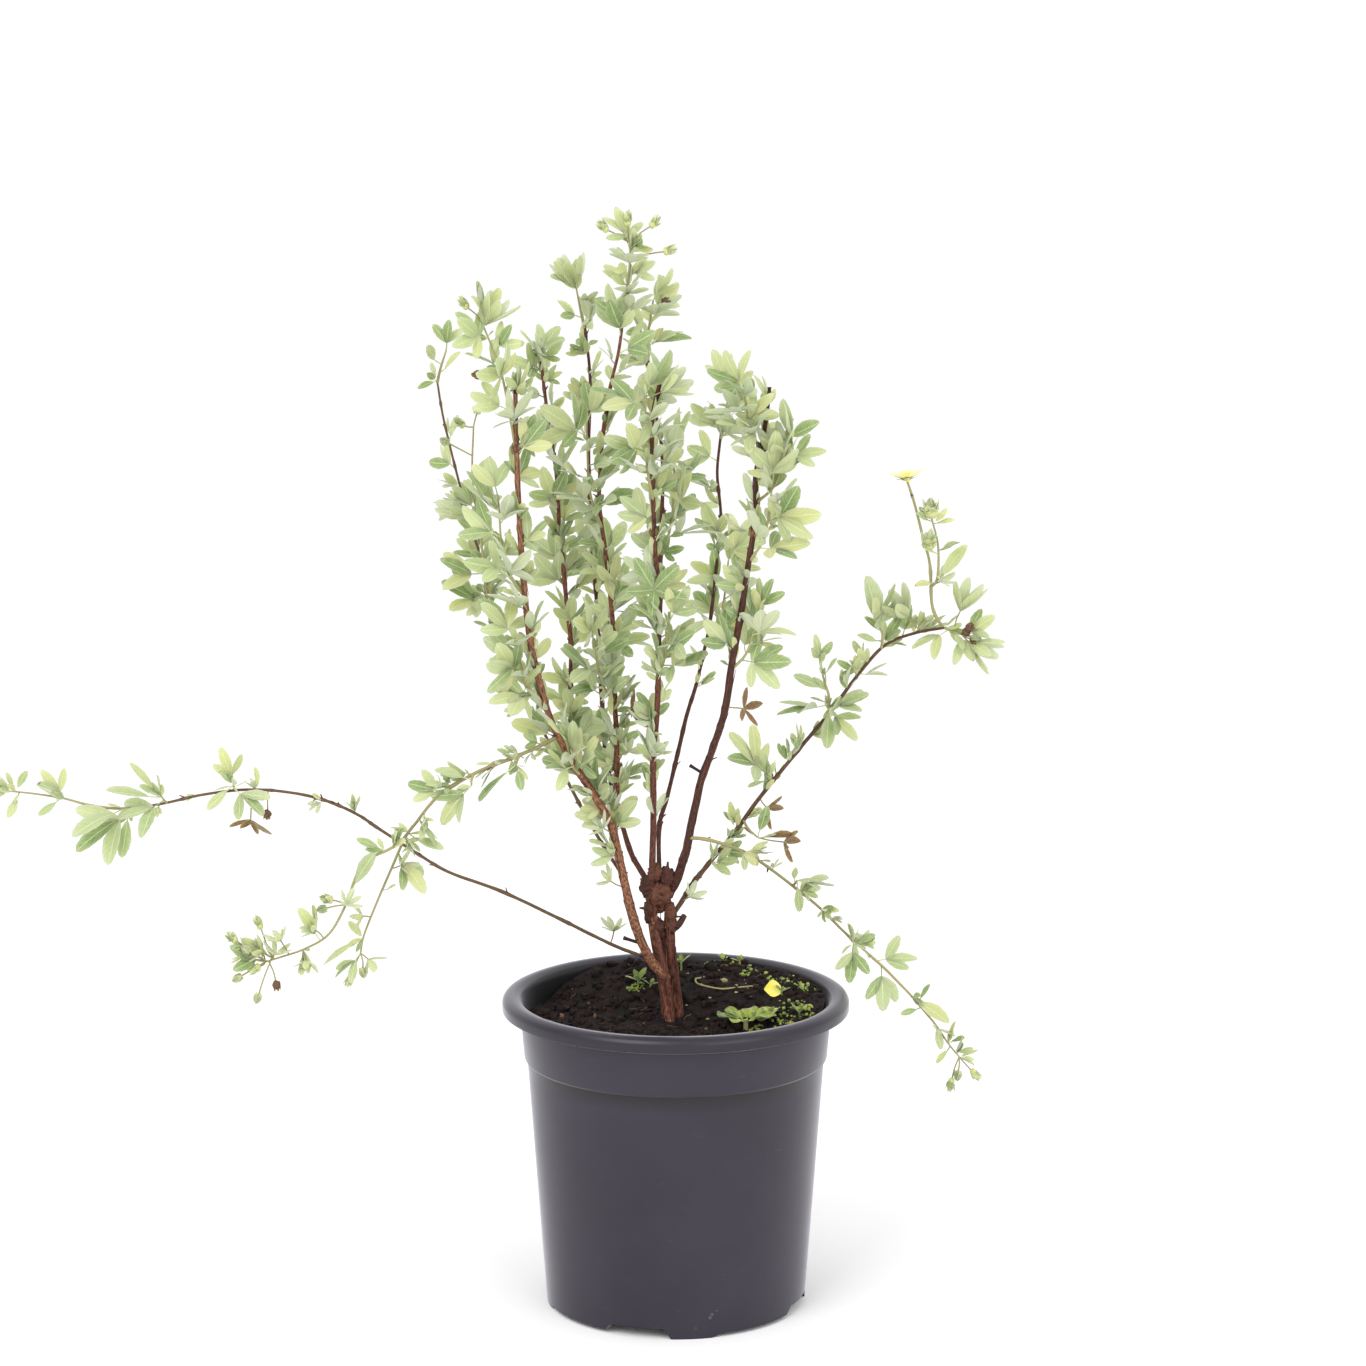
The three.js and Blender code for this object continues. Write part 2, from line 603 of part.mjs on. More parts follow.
// Shoots whose leaves are placed by hand. Each leaf is: place along the shoot, lie in the front
// view and lean to the front in degrees, reach, leaflets (0 is a bud) and roll of the blade.
const HAND_SHOOTS = {
  arching_leaves_inner: {
    parent: "arching_left_stem",
    points: [[-237, -11, 288.5], [-238, -14, 291], [-238, -15, 293]],
    leaves: [
      [1, 104, 5, 21, 3], [1, -137, 15, 20, 1], [0.6, -42, 30, 24, 3],
    ],
  },
  arching_leaves_middle: {
    parent: "arching_left_stem",
    points: [[-274, -16, 283], [-275, -19, 285], [-276, -20, 287]],
    leaves: [
      [1, 176, 8, 30, 1], [1, 131, 5, 27, 1], [1, 105, 30, 17, 1], [0.5, -148, 12, 27, 3],
    ],
  },
  arching_tip: {
    parent: "arching_left_stem",
    points: [
      [-290, -16, 280], [-304, -16, 280], [-318, -15, 282], [-330, -14, 285],
      [-345, -12, 287], [-358, -10, 288],
    ],
    leaves: [
      [0.03, -144, 12, 38, 3], [0.06, -100, 20, 27, 1], [0.1, -163, 40, 34, 1],
      [0.61, 163, 40, 20, 1], [0.59, 122, 10, 20, 3], [0.62, -138, 15, 16, 1],
      [0.97, 118, 10, 13, 1], [1, 172, 5, 14, 3], [0.94, -112, 10, 16, 1],
    ],
  },
  drooping_leaves_upper: {
    parent: "drooping_left_stem",
    points: [[-83, -38, 313.5], [-84, -40, 311], [-84.5, -41, 309]],
    leaves: [
      [1, -140, 5, 28, 1], [0.5, 150, 20, 14, 1], [1, -75, 25, 15, 1],
    ],
  },
  drooping_leaves_middle: {
    parent: "drooping_left_stem",
    points: [[-107, -44, 304.5], [-108, -47, 302], [-108, -48, 299]],
    leaves: [
      [1, -134, 8, 25, 3], [0.5, 160, 15, 21, 1],
    ],
  },
  drooping_tip_left: {
    parent: "drooping_left_stem",
    points: [
      [-146, -54, 269], [-152, -56, 266], [-166, -58, 258], [-175, -60, 236],
      [-184, -61, 221], [-197, -60, 213], [-210, -58, 208], [-218, -56, 205],
    ],
    leaves: [
      [0.1, 60, 25, 16, 1], [0.16, 152, 15, 17, 1], [0.42, -175, 25, 12, 0],
      [0.38, 62, 5, 26, 1], [0.62, 120, 15, 22, 3], [0.72, -95, 15, 14, 1],
      [0.9, 150, 0, 20, 1], [1, 168, 10, 22, 3], [1, -150, 5, 16, 0],
      [0.94, -110, 10, 20, 0], [0.98, 140, 30, 14, 0],
    ],
  },
  drooping_tip_down: {
    parent: "drooping_left_stem",
    points: [
      [-139, -52, 278], [-144, -48, 270], [-151, -47, 254], [-158, -48, 238],
      [-166, -49, 218], [-168, -49, 208],
    ],
    leaves: [
      [0.12, -30, 15, 22, 1], [0.3, -62, 10, 26, 3], [0.82, -150, 10, 25, 1],
      [1, -128, 15, 20, 3], [1, -82, 10, 9, 0], [0.55, 10, 20, 12, 1],
    ],
  },
  thin_left_leaves: {
    parent: "thin_left_stem",
    points: [[-103, 40, 382], [-104, 37, 392], [-106, 31, 419], [-110, 26, 453], [-109, 22, 482]],
    leaves: [
      [0.04, 166, 10, 29, 5], [0.2, -125, 35, 18, 1], [0.34, -178, 5, 29, 3],
      [0.36, 12, 15, 18, 3], [0.62, 128, 15, 20, 3], [0.75, 40, 10, 18, 3],
      [1, 75, 10, 9, 0], [0.86, 150, 15, 16, 0],
    ],
  },
  left_tip: {
    parent: "thin_left_stem",
    points: [[-129, 34, 505], [-127, 33, 513], [-124, 32, 522]],
    leaves: [
      [1, 84, 5, 19, 3], [0.6, 146, 10, 20, 1], [0.3, 40, 15, 18, 1], [0.1, -150, 10, 12, 1],
    ],
  },
  long_right_leaves_low: {
    parent: "long_right_stem",
    points: [[53, 24, 286], [51, 21, 289], [49, 20, 292]],
    leaves: [
      [1, 136, 8, 31, 5], [0.6, 98, 25, 17, 1], [0.4, -160, 20, 14, 1],
    ],
  },
  browned_leaves: {
    parent: "long_right_stem",
    points: [[37, 18, 266], [40, 13, 262], [45, 10, 258]],
    leaves: [
      [1, 78, 10, 19, 1, 20], [1, 6, 12, 21, 1, -10], [0.8, 150, 40, 11, 1],
    ],
  },
  long_right_leaves_middle: {
    parent: "long_right_stem",
    points: [[84, 32, 323], [84, 28, 333], [81, 26, 343], [79, 26, 351]],
    leaves: [
      [0.1, 18, 15, 25, 3], [0.08, -48, 25, 23, 3], [0.2, -166, 15, 30, 3],
      [0.15, -95, 35, 24, 1], [0.45, 150, 10, 20, 1], [1, 100, 5, 18, 3], [0.75, 48, 15, 15, 1],
    ],
  },
  long_right_leaves_upper: {
    parent: "long_right_stem",
    points: [[113, 38, 358], [113, 33, 363], [113, 30, 368]],
    leaves: [
      [1, 110, 8, 34, 5], [0.5, 172, 20, 15, 1],
    ],
  },
  long_right_tip: {
    parent: "long_right_stem",
    points: [[147, 30, 371], [152, 27, 369], [156, 25, 368]],
    leaves: [
      [1, 24, 5, 21, 3], [0.6, -60, 15, 20, 3], [0.2, -150, 20, 24, 3], [1, -8, 35, 8, 0],
    ],
  },
  flower_stalk_shoot: {
    parent: "flower_stalk",
    points: [[138.5, 24, 394], [142, 20, 400], [142, 17, 418], [138, 15, 434]],
    leaves: [
      [0.2, 52, 10, 26, 1], [0.25, -170, 35, 14, 1], [0.62, 20, 8, 11, 1], [0.58, 150, 30, 11, 1],
      [1, 95, 5, 6, 0], [0.92, 12, 15, 12, 1], [0.95, 160, 30, 13, 1],
    ],
  },
  trailing_leaves_upper: {
    parent: "trailing_right_stem",
    points: [[65, 32, 226], [66, 29, 228], [67, 27, 230]],
    leaves: [
      [1, -84, 8, 17, 1], [1, -6, 15, 22, 3], [0.5, 100, 15, 13, 1],
    ],
  },
  trailing_leaves_middle: {
    parent: "trailing_right_stem",
    points: [[97, 42, 194], [98, 39, 193], [99, 37, 192]],
    leaves: [
      [1, 110, 10, 13, 1], [1, -97, 12, 22, 3], [0.6, 5, 20, 14, 1],
    ],
  },
  trailing_tip: {
    parent: "trailing_right_stem",
    points: [
      [108, 42, 184], [116, 41, 177], [124, 40, 169], [131, 38, 162], [138, 36, 154],
      [145, 33, 146], [152, 30, 136], [158, 28, 129],
    ],
    leaves: [
      [0.07, 14, 10, 22, 3], [0.12, -88, 12, 25, 3], [0.04, 160, 25, 12, 1],
      [0.43, -36, 30, 27, 1], [0.5, 50, 10, 14, 1], [0.55, -160, 10, 13, 1],
      [0.7, -62, 40, 15, 3], [0.85, 20, 10, 12, 1], [0.88, -125, 15, 12, 1],
      [1, -95, 10, 9, 0], [1, -28, 5, 10, 1], [0.96, 60, 20, 9, 1],
    ],
  },
};

// Shoots whose leaves follow a rule. A side shoot leaves its parent at a place along it, towards
// an azimuth (0 is +X, 90 is the back) and a rise in degrees; a leading shoot has its own points.
const RULE_SHOOTS = {
  outer_left_leaves_low: {
    parent: "outer_left_stem", at: 0.5, azimuth: 240, rise: 40, length: 28,
    leaves: 5, reach: 27,
  },
  outer_left_leaves_middle: {
    parent: "outer_left_stem", at: 0.64, azimuth: 200, rise: 50, length: 42,
    leaves: 7, reach: 29,
  },
  outer_left_leaves_upper: {
    parent: "outer_left_stem", at: 0.8, azimuth: 170, rise: 60, length: 56,
    leaves: 8, reach: 29,
  },
  outer_left_tip: {
    parent: "outer_left_stem",
    points: [[-83, -33, 470], [-87, -31, 495], [-92, -28, 518], [-101, -24, 541]],
    leaves: 8, reach: 26, phase: 40, from: 0.25,
  },
  second_left_leaves: {
    parent: "second_left_stem", at: 0.5, azimuth: 100, rise: 60, length: 62,
    leaves: 8, reach: 30,
  },
  second_left_tip: {
    parent: "second_left_stem",
    points: [[-73, 36, 510], [-74, 36, 518], [-74, 36, 526]],
    leaves: 7, reach: 24, phase: 110, from: 0.05,
  },
  back_left_leaves_low: {
    parent: "back_left_stem", at: 0.24, azimuth: 290, rise: 50, length: 18,
    leaves: 4, reach: 25,
  },
  back_left_leaves: {
    parent: "back_left_stem", at: 0.5, azimuth: 70, rise: 60, length: 62,
    leaves: 8, reach: 30,
  },
  back_left_tip: {
    parent: "back_left_stem",
    points: [[-50, 61, 532], [-52, 60, 542], [-54, 58, 553]],
    leaves: 5, reach: 22, phase: 20, from: 0.05,
  },
  middle_left_leaves_low: {
    parent: "middle_left_stem", at: 0.33, azimuth: 230, rise: 50, length: 42,
    leaves: 7, reach: 28,
  },
  middle_left_leaves_high: {
    parent: "middle_left_stem", at: 0.62, azimuth: 240, rise: 60, length: 62,
    leaves: 8, reach: 30,
  },
  middle_left_tip: {
    parent: "middle_left_stem",
    points: [[-27, 2, 550], [-25, 1, 562], [-24, 0, 574], [-24, 0, 582]],
    leaves: 7, reach: 21, phase: 75, from: 0.1,
  },
  middle_leaves_low: {
    parent: "middle_stem", at: 0.42, azimuth: 290, rise: 45, length: 36,
    leaves: 6, reach: 28,
  },
  middle_leaves_high: {
    parent: "middle_stem", at: 0.74, azimuth: 255, rise: 60, length: 60,
    leaves: 8, reach: 30,
  },
  middle_back_leaves: {
    parent: "middle_back_stem", at: 0.3, azimuth: 60, rise: 60, length: 60,
    leaves: 8, reach: 30,
  },
  middle_back_tip: {
    parent: "middle_back_stem",
    points: [[-16, 26, 524], [-14, 25, 537], [-12, 24, 550]],
    leaves: 6, reach: 26, phase: 10, from: 0.05,
  },
  slender_leaves: {
    parent: "slender_right_stem", at: 0.58, azimuth: 40, rise: 55, length: 50,
    leaves: 7, reach: 29,
  },
  slender_tip: {
    parent: "slender_right_stem",
    points: [[25, 72, 470], [27, 71, 482], [29, 70, 494]],
    leaves: 7, reach: 26, phase: 60, from: 0.05,
  },
  right_leaves_low: {
    parent: "right_stem", at: 0.53, azimuth: 340, rise: 50, length: 36,
    leaves: 6, reach: 27,
  },
  right_leaves_middle: {
    parent: "right_stem", at: 0.68, azimuth: 320, rise: 55, length: 48,
    leaves: 7, reach: 29,
  },
  right_leaves_high: {
    parent: "right_stem", at: 0.8, azimuth: 350, rise: 45, length: 36,
    leaves: 7, reach: 27,
  },
  right_tip: {
    parent: "right_stem",
    points: [[45, -46.5, 476], [40, -50, 487], [37, -52, 498], [36, -52, 508]],
    leaves: 7, reach: 26, phase: 30, from: 0.3,
  },
};

/** The points of a side shoot: out from its parent, then more upright. */
function sideShootPoints({ parent, at, azimuth, rise, length }) {
  const { points } = STEMS[parent];
  const start = lineThrough(points.map(point)).getPoint(at);
  const heading = (lift) => new THREE.Vector3(
    Math.cos(radians(azimuth)) * Math.cos(radians(lift)),
    Math.sin(radians(azimuth)) * Math.cos(radians(lift)),
    Math.sin(radians(lift)),
  );
  const elbow = start.clone().addScaledVector(heading(rise), length * SHOOT.footShare);
  const upper = length * (1 - SHOOT.footShare);
  const tip = elbow.clone().addScaledVector(heading(rise + SHOOT.bend), upper);
  return [start, elbow, tip];
}

/** A shoot and its leaves in one body, clear of the stem that carries it. */
function shootSolid(points, leaves, parent) {
  let shoot = stemSolid(points, SHOOT.footRadius, SHOOT.tipRadius, SHOOT.sides, points.length);
  for (const leaf of leaves) {
    shoot = shoot.add(leafSolid(leaf));
  }
  return largestBody(shoot.subtract(stemBody(parent, GAP)));
}

// The open flower at the end of its stalk: five petals in one plane and a raised middle.
const FLOWER = {
  at: [124.7, 16, 454.6],
  petals: 5,
  petalLength: 10.8,
  petalWidth: 7.6,
  petalMiddle: 4.4,
  thickness: 0.7,
  domeRadius: 3,
  domeFlatness: 0.5,
  turn: 18,
  lean: 8,
};

/** A round petal or blade lying in the XY plane about a middle on +X. */
function roundBlade(length, width, thickness, middle, sides) {
  const blade = new THREE.CylinderGeometry(1, 1, thickness, sides);
  blade.rotateX(Math.PI / 2);
  blade.scale(length / 2, width / 2, 1);
  return blade.translate(middle, 0, 0);
}

/** The flower: five round petals joined at the middle, with a low dome of stamens. */
function flowerSolid() {
  const { petals, petalLength, petalWidth, petalMiddle, thickness, turn } = FLOWER;
  const dome = new THREE.IcosahedronGeometry(FLOWER.domeRadius, 0);
  dome.scale(1, 1, FLOWER.domeFlatness);
  let flower = toSolid(dome);
  for (let i = 0; i < petals; i += 1) {
    const petal = roundBlade(petalLength, petalWidth, thickness, petalMiddle, 10);
    petal.rotateZ(radians((360 / petals) * i + turn));
    flower = flower.add(toSolid(petal));
  }
  return flower;
}

/** Places a flower part on the stalk, leaning with it. */
function onFlower(solid) {
  const lean = new THREE.Matrix4().makeRotationY(radians(-FLOWER.lean));
  const place = new THREE.Matrix4().makeTranslation(...FLOWER.at).multiply(lean);
  return solid.transform(place.elements);
}

// What lies and grows on the soil: a fallen yellow petal, propped on its edge by the crumbs, and a
// small round-leaved weed by the front of the pot.
const PETAL = { at: [53.5, 4], length: 10, width: 9, thickness: 0.7, tilt: 50 };
const WEED = {
  at: [38, -27],
  stub: { footRadius: 1.6, topRadius: 1.2, height: 5, sides: 6 },
  leaves: [[200, 17], [310, 15], [75, 15], [20, 20], [140, 14]],
  thickness: 0.7,
  stalkWidth: 1,
  rise: 14,
  forkHeight: 4,
};

/** The fallen petal, with its front edge on the soil. */
function petalSolid() {
  const petal = roundBlade(PETAL.length, PETAL.width, PETAL.thickness, 0, 12);
  petal.rotateX(radians(PETAL.tilt));
  petal.computeBoundingBox();
  const rest = soilHeight(PETAL.at[0], PETAL.at[1] - PETAL.width / 2) + GAP;
  petal.translate(PETAL.at[0], PETAL.at[1], rest - petal.boundingBox.min.z);
  return toSolid(petal);
}

/** One leaf of the weed: a stalk over half its reach and a round blade over the rest. */
function weedLeaf(reach) {
  const blade = roundBlade(reach * 0.72, reach * 0.56, WEED.thickness, reach * 0.64, 8);
  const stalk = new THREE.BoxGeometry(reach / 2, WEED.stalkWidth, WEED.thickness);
  stalk.translate(reach / 4, 0, 0);
  return toSolid(blade).add(toSolid(stalk));
}

/** The weed: a short stub with round leaves held just over the soil. */
function weedSolid() {
  const [x, y] = WEED.at;
  const { footRadius, topRadius, height, sides } = WEED.stub;
  const ground = soilHeight(x + footRadius, y) + GAP;
  const stub = new THREE.CylinderGeometry(topRadius, footRadius, height, sides);
  stub.rotateX(Math.PI / 2);
  stub.translate(x, y, ground + height / 2);
  let weed = toSolid(stub);
  for (const [azimuth, reach] of WEED.leaves) {
    const pose = new THREE.Matrix4().makeRotationZ(radians(azimuth));
    pose.multiply(new THREE.Matrix4().makeRotationY(radians(-WEED.rise)));
    pose.setPosition(x, y, ground + WEED.forkHeight);
    weed = weed.add(weedLeaf(reach).transform(pose.elements));
  }
  return weed;
}

/** Adds the pot with its soil, which leaves room for the trunk. */
function addPot() {
  addPiece("pot", potSolid(), { color: 0x55535c, roughness: 0.45, metalness: 0 });
  const soil = soilSolid().subtract(crownSolid(GAP));
  addPiece("soil", soil, { color: 0x2b211b, roughness: 1, metalness: 0 });
}

/** Adds the crown and every woody stem, each trimmed clear of its parent. */
function addStems() {
  addPiece("crown", crownSolid(0), { color: 0x573329, roughness: 0.9, metalness: 0 });
  for (const [name, { parent, points, radii }] of Object.entries(STEMS)) {
    addPiece(name, stemBody(name, 0).subtract(stemBody(parent, GAP)), BARK);
    occupyStem(points.map(point), radii[0], radii[1]);
  }
}

/** Adds the shoots with leaves: first those placed by hand, then those that fill the room left. */
function addShoots() {
  const grown = [];
  for (const [name, { parent, points, leaves }] of Object.entries(HAND_SHOOTS)) {
    const path = points.map(point);
    const placed = leaves.map((leaf) => leafByHand(lineThrough(path), leaf));
    occupyStem(path, SHOOT.footRadius, SHOOT.tipRadius);
    placed.forEach((leaf) => occupied.push(...leafBalls(leaf)));
    grown.push([name, path, placed, parent]);
  }
  const ruled = Object.entries(RULE_SHOOTS).map(([name, shoot]) => {
    const path = shoot.points ? shoot.points.map(point) : sideShootPoints(shoot);
    return [name, path, shoot];
  });
  for (const [name, path, shoot] of ruled) {
    grown.push([name, path, leavesByRule(lineThrough(path), shoot), shoot.parent]);
  }
  for (const [name, path, leaves, parent] of grown) {
    addPiece(name, shootSolid(path, leaves, parent), FOLIAGE);
  }
}

/** Adds the flower and what lies or grows on the soil. */
function addSmallThings() {
  addPiece("open_flower", onFlower(flowerSolid()), { color: 0xf3ea8a, roughness: 0.6, metalness: 0 });
  addPiece("fallen_petal", petalSolid(), { color: 0xf2e51c, roughness: 0.6, metalness: 0 });
  addPiece("weed_seedling", weedSolid(), { color: 0x7f9a3e, roughness: 0.7, metalness: 0 });
}

addPot();
addStems();
addShoots();
addSmallThings();

export default plant;
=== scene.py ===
"""A young shrubby cinquefoil in a plastic nursery pot, finished for the studio.

The plant grows by the rules of its frame, so each stem, shoot and leaf stands where its solid
stands. Everything is worked out in millimetres, with +Z up and -Y to the front, and each piece
is brought to metres when it is finished.
"""

import json
import logging
import random
from collections.abc import Callable, Sequence
from dataclasses import dataclass
from enum import Enum
from math import atan2, cos, degrees, hypot, pi, radians, sin, sqrt

import bmesh
import bpy
import numpy as np
from mathutils import Matrix, Vector, noise

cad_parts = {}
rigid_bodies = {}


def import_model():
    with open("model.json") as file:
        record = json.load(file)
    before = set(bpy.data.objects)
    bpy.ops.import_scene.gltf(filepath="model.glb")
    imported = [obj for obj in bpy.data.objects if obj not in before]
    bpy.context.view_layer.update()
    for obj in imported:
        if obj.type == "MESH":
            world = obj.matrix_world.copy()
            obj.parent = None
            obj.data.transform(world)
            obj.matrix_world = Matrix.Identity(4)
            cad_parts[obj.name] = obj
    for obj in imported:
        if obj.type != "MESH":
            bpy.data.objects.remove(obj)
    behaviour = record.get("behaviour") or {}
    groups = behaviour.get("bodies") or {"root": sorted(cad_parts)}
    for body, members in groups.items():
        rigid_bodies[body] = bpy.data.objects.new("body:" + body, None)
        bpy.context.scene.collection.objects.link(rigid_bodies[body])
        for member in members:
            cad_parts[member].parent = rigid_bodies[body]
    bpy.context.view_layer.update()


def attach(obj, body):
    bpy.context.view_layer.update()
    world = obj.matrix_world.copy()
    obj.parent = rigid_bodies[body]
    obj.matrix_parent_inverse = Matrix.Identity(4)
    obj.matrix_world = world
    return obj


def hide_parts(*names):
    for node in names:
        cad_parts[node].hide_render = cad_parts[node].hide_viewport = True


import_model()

MM = 0.001
BODY = "root"
LOG = logging.getLogger("cinquefoil")

Point = tuple[float, float, float]
Colour = tuple[float, float, float, float]
Array = np.ndarray
Socket = bpy.types.NodeSocket
Radius = Callable[[float, float], float]
Placing = Callable[[float, float, float], Array]

FRONT = np.array((0.0, -1.0, 0.0))
UP = np.array((0.0, 0.0, 1.0))
SKY = np.array((0.1, -0.62, 0.78))


def shade(red: int, green: int, blue: int) -> Colour:
    """A colour given as it is seen on a screen, as linear light."""
    def linear(value: int) -> float:
        """One channel as linear light."""
        share = value / 255
        return share / 12.92 if share <= 0.04045 else ((share + 0.055) / 1.055) ** 2.4
    return linear(red), linear(green), linear(blue), 1.0


def unit(vector: Array) -> Array:
    """A vector's direction."""
    return vector / np.linalg.norm(vector)


def turned(vector: Array, axis: Array, angle: float) -> Array:
    """A vector turned about a unit axis.

    Args:
        vector: What is turned.
        axis: The unit axis.
        angle: How far, in degrees counter-clockwise about the axis.

    Returns:
        The turned vector.
    """
    turn = radians(angle)
    across = np.cross(axis, vector)
    kept = axis * np.dot(axis, vector) * (1 - cos(turn))
    return vector * cos(turn) + across * sin(turn) + kept


def heading(azimuth: float, rise: float) -> Array:
    """The direction with an azimuth (0 is +X, 90 the back) and a rise, in degrees."""
    flat = cos(radians(rise))
    turn = radians(azimuth)
    return np.array((cos(turn) * flat, sin(turn) * flat, sin(radians(rise))))


def eased(value: float, low: float, high: float) -> float:
    """0 below low, 1 above high and a smooth step between."""
    share = min(1.0, max(0.0, (value - low) / (high - low)))
    return share * share * (3 - 2 * share)


def around(first: Array, second: Array, turn: float) -> Array:
    """The direction that is a turn, in radians, on from the first of two towards the second."""
    return first * cos(turn) + second * sin(turn)


def tapered(foot: float, loss: float = 0.0) -> Radius:
    """The radius of a stem that loses an even share of it towards its tip."""
    return lambda share, angle: foot - loss * share


def spindle(middle: float, start: float, run: float) -> Radius:
    """The radius of a strip that is thickest in its middle."""
    return lambda share, angle: middle * sin(pi * (start + run * share))


def laid(foot: Array, side: Array, forward: Array, up: Array) -> Placing:
    """Lays a blade from its foot along its own three directions."""
    return lambda across, along, rise: foot + side * across + forward * along + up * rise


def scattered(rng: random.Random, radius: float) -> tuple[float, float]:
    """A random place in a circle round the pot's axis."""
    reach = radius * sqrt(rng.random())
    turn = rng.uniform(0, 2 * pi)
    return reach * cos(turn), reach * sin(turn)


class Line:
    """A smooth line through points: the same uniform spline that the frame's stems follow."""

    STEP = 0.0001

    def __init__(self, points: Sequence[Point] | Sequence[Array]) -> None:
        """Keeps the points that the line goes through."""
        self.points = np.array(points, float)
        self.spans = len(self.points) - 1

    def _knot(self, index: int) -> Array:
        """A point of the line, or one drawn on straight past an end."""
        if index < 0:
            return 2 * self.points[0] - self.points[1]
        if index > self.spans:
            return 2 * self.points[-1] - self.points[-2]
        return self.points[index]

    def at(self, along: float) -> Array:
        """The place at a share of the line, from 0 to 1."""
        i = min(int(along * self.spans), self.spans - 1)
        w = along * self.spans - i
        before, start, end, after = (self._knot(i + k) for k in (-1, 0, 1, 2))
        into, out = (end - before) / 2, (after - start) / 2
        bend = (-3 * start + 3 * end - 2 * into - out) * w**2
        return start + into * w + bend + (2 * start - 2 * end + into + out) * w**3

    def tangent(self, along: float) -> Array:
        """The direction of the line at a share of it."""
        before = self.at(max(along - self.STEP, 0.0))
        return unit(self.at(min(along + self.STEP, 1.0)) - before)

    def axes(self, along: float) -> tuple[Array, Array]:
        """Two directions square to the line; the second leans to the front."""
        tangent = self.tangent(along)
        out = unit(FRONT - tangent * np.dot(FRONT, tangent))
        return np.cross(tangent, out), out

    def length(self) -> float:
        """The length of the line, measured over its points."""
        return float(np.linalg.norm(np.diff(self.points, axis=0), axis=1).sum())


class Graph:
    """The node graph of one material, with short ways to add what the finishes use."""

    def __init__(self, material: bpy.types.Material) -> None:
        """Starts from the material's own shader."""
        self.nodes = material.node_tree.nodes
        self.links = material.node_tree.links
        self.shader = next(n for n in self.nodes if n.type == "BSDF_PRINCIPLED")

    def node(self, kind: str, **settings: object) -> bpy.types.Node:
        """A new node with its own properties set."""
        made = self.nodes.new(kind)
        for name, value in settings.items():
            setattr(made, name, value)
        return made

    def feed(self, socket: Socket, value: object) -> None:
        """Links a socket to another one, or sets it to a plain value."""
        if isinstance(value, Socket):
            self.links.new(value, socket)
        else:
            socket.default_value = value

    def place(self) -> Socket:
        """The place on the piece, in metres."""
        return self.node("ShaderNodeTexCoord").outputs["Object"]

    def skin(self) -> Socket:
        """The piece's own skin map."""
        return self.node("ShaderNodeUVMap", uv_map="skin").outputs["UV"]

    def tint(self) -> Sequence[Socket]:
        """The three channels of the piece's tint: youth (painted shade on the pot), browning and a random
        share.
        """
        tint = self.node("ShaderNodeAttribute", attribute_name="tint")
        return self.parts(tint.outputs["Color"])

    def parts(self, value: Socket) -> Sequence[Socket]:
        """A colour's or vector's three parts."""
        split = self.node("ShaderNodeSeparateXYZ")
        self.feed(split.inputs[0], value)
        return split.outputs

    def stretched(self, value: Socket, scale: Point) -> Socket:
        """Coordinates scaled along their axes."""
        mapping = self.node("ShaderNodeMapping")
        self.feed(mapping.inputs["Vector"], value)
        mapping.inputs["Scale"].default_value = scale
        return mapping.outputs["Vector"]

    def noise(self, where: Socket, scale: float, detail: float = 4.0,
              roughness: float = 0.55) -> Socket:
        """Cloudy noise from 0 to 1."""
        made = self.node("ShaderNodeTexNoise")
        self.feed(made.inputs["Vector"], where)
        made.inputs["Scale"].default_value = scale
        made.inputs["Detail"].default_value = detail
        made.inputs["Roughness"].default_value = roughness
        return made.outputs["Fac"]

    def cells(self, where: Socket, scale: float) -> Socket:
        """The distance to the nearest of scattered points."""
        made = self.node("ShaderNodeTexVoronoi")
        self.feed(made.inputs["Vector"], where)
        made.inputs["Scale"].default_value = scale
        return made.outputs["Distance"]

    def maths(self, operation: str, first: object, second: object = 0.0) -> Socket:
        """One step of arithmetic."""
        made = self.node("ShaderNodeMath", operation=operation)
        self.feed(made.inputs[0], first)
        self.feed(made.inputs[1], second)
        return made.outputs[0]

    def times(self, first: object, second: object) -> Socket:
        """The product of two values."""
        return self.maths("MULTIPLY", first, second)

    def plus(self, first: object, second: object) -> Socket:
        """The sum of two values."""
        return self.maths("ADD", first, second)

    def band(self, value: Socket, low: float, high: float, least: float = 0.0,
             most: float = 1.0) -> Socket:
        """A value eased from least at low to most at high."""
        made = self.node("ShaderNodeMapRange", interpolation_type="SMOOTHSTEP")
        for name, number in (("From Min", low), ("From Max", high), ("To Min", least), ("To Max", most)):
            made.inputs[name].default_value = number
        self.feed(made.inputs["Value"], value)
        return made.outputs["Result"]

    def mix(self, share: object, first: object, second: object) -> Socket:
        """Two colours mixed by a share."""
        made = self.node("ShaderNodeMix", data_type="RGBA")
        self.feed(made.inputs["Factor"], share)
        self.feed(made.inputs[6], first)
        self.feed(made.inputs[7], second)
        return made.outputs[2]

    def relief(self, height: Socket, strength: float, depth: float) -> None:
        """Bumps the surface by a height, over a depth in millimetres."""
        made = self.node("ShaderNodeBump")
        made.inputs["Strength"].default_value = strength
        made.inputs["Distance"].default_value = depth * MM
        self.feed(made.inputs["Height"], height)
        self.feed(self.shader.inputs["Normal"], made.outputs["Normal"])

    def paint(self, colour: object, roughness: object) -> None:
        """Gives the shader its colour and roughness."""
        self.feed(self.shader.inputs["Base Color"], colour)
        self.feed(self.shader.inputs["Roughness"], roughness)

    def constants(self, **values: object) -> None:
        """Sets plain values on the shader's own sockets."""
        for name, value in values.items():
            self.shader.inputs[name.replace("_", " ")].default_value = value


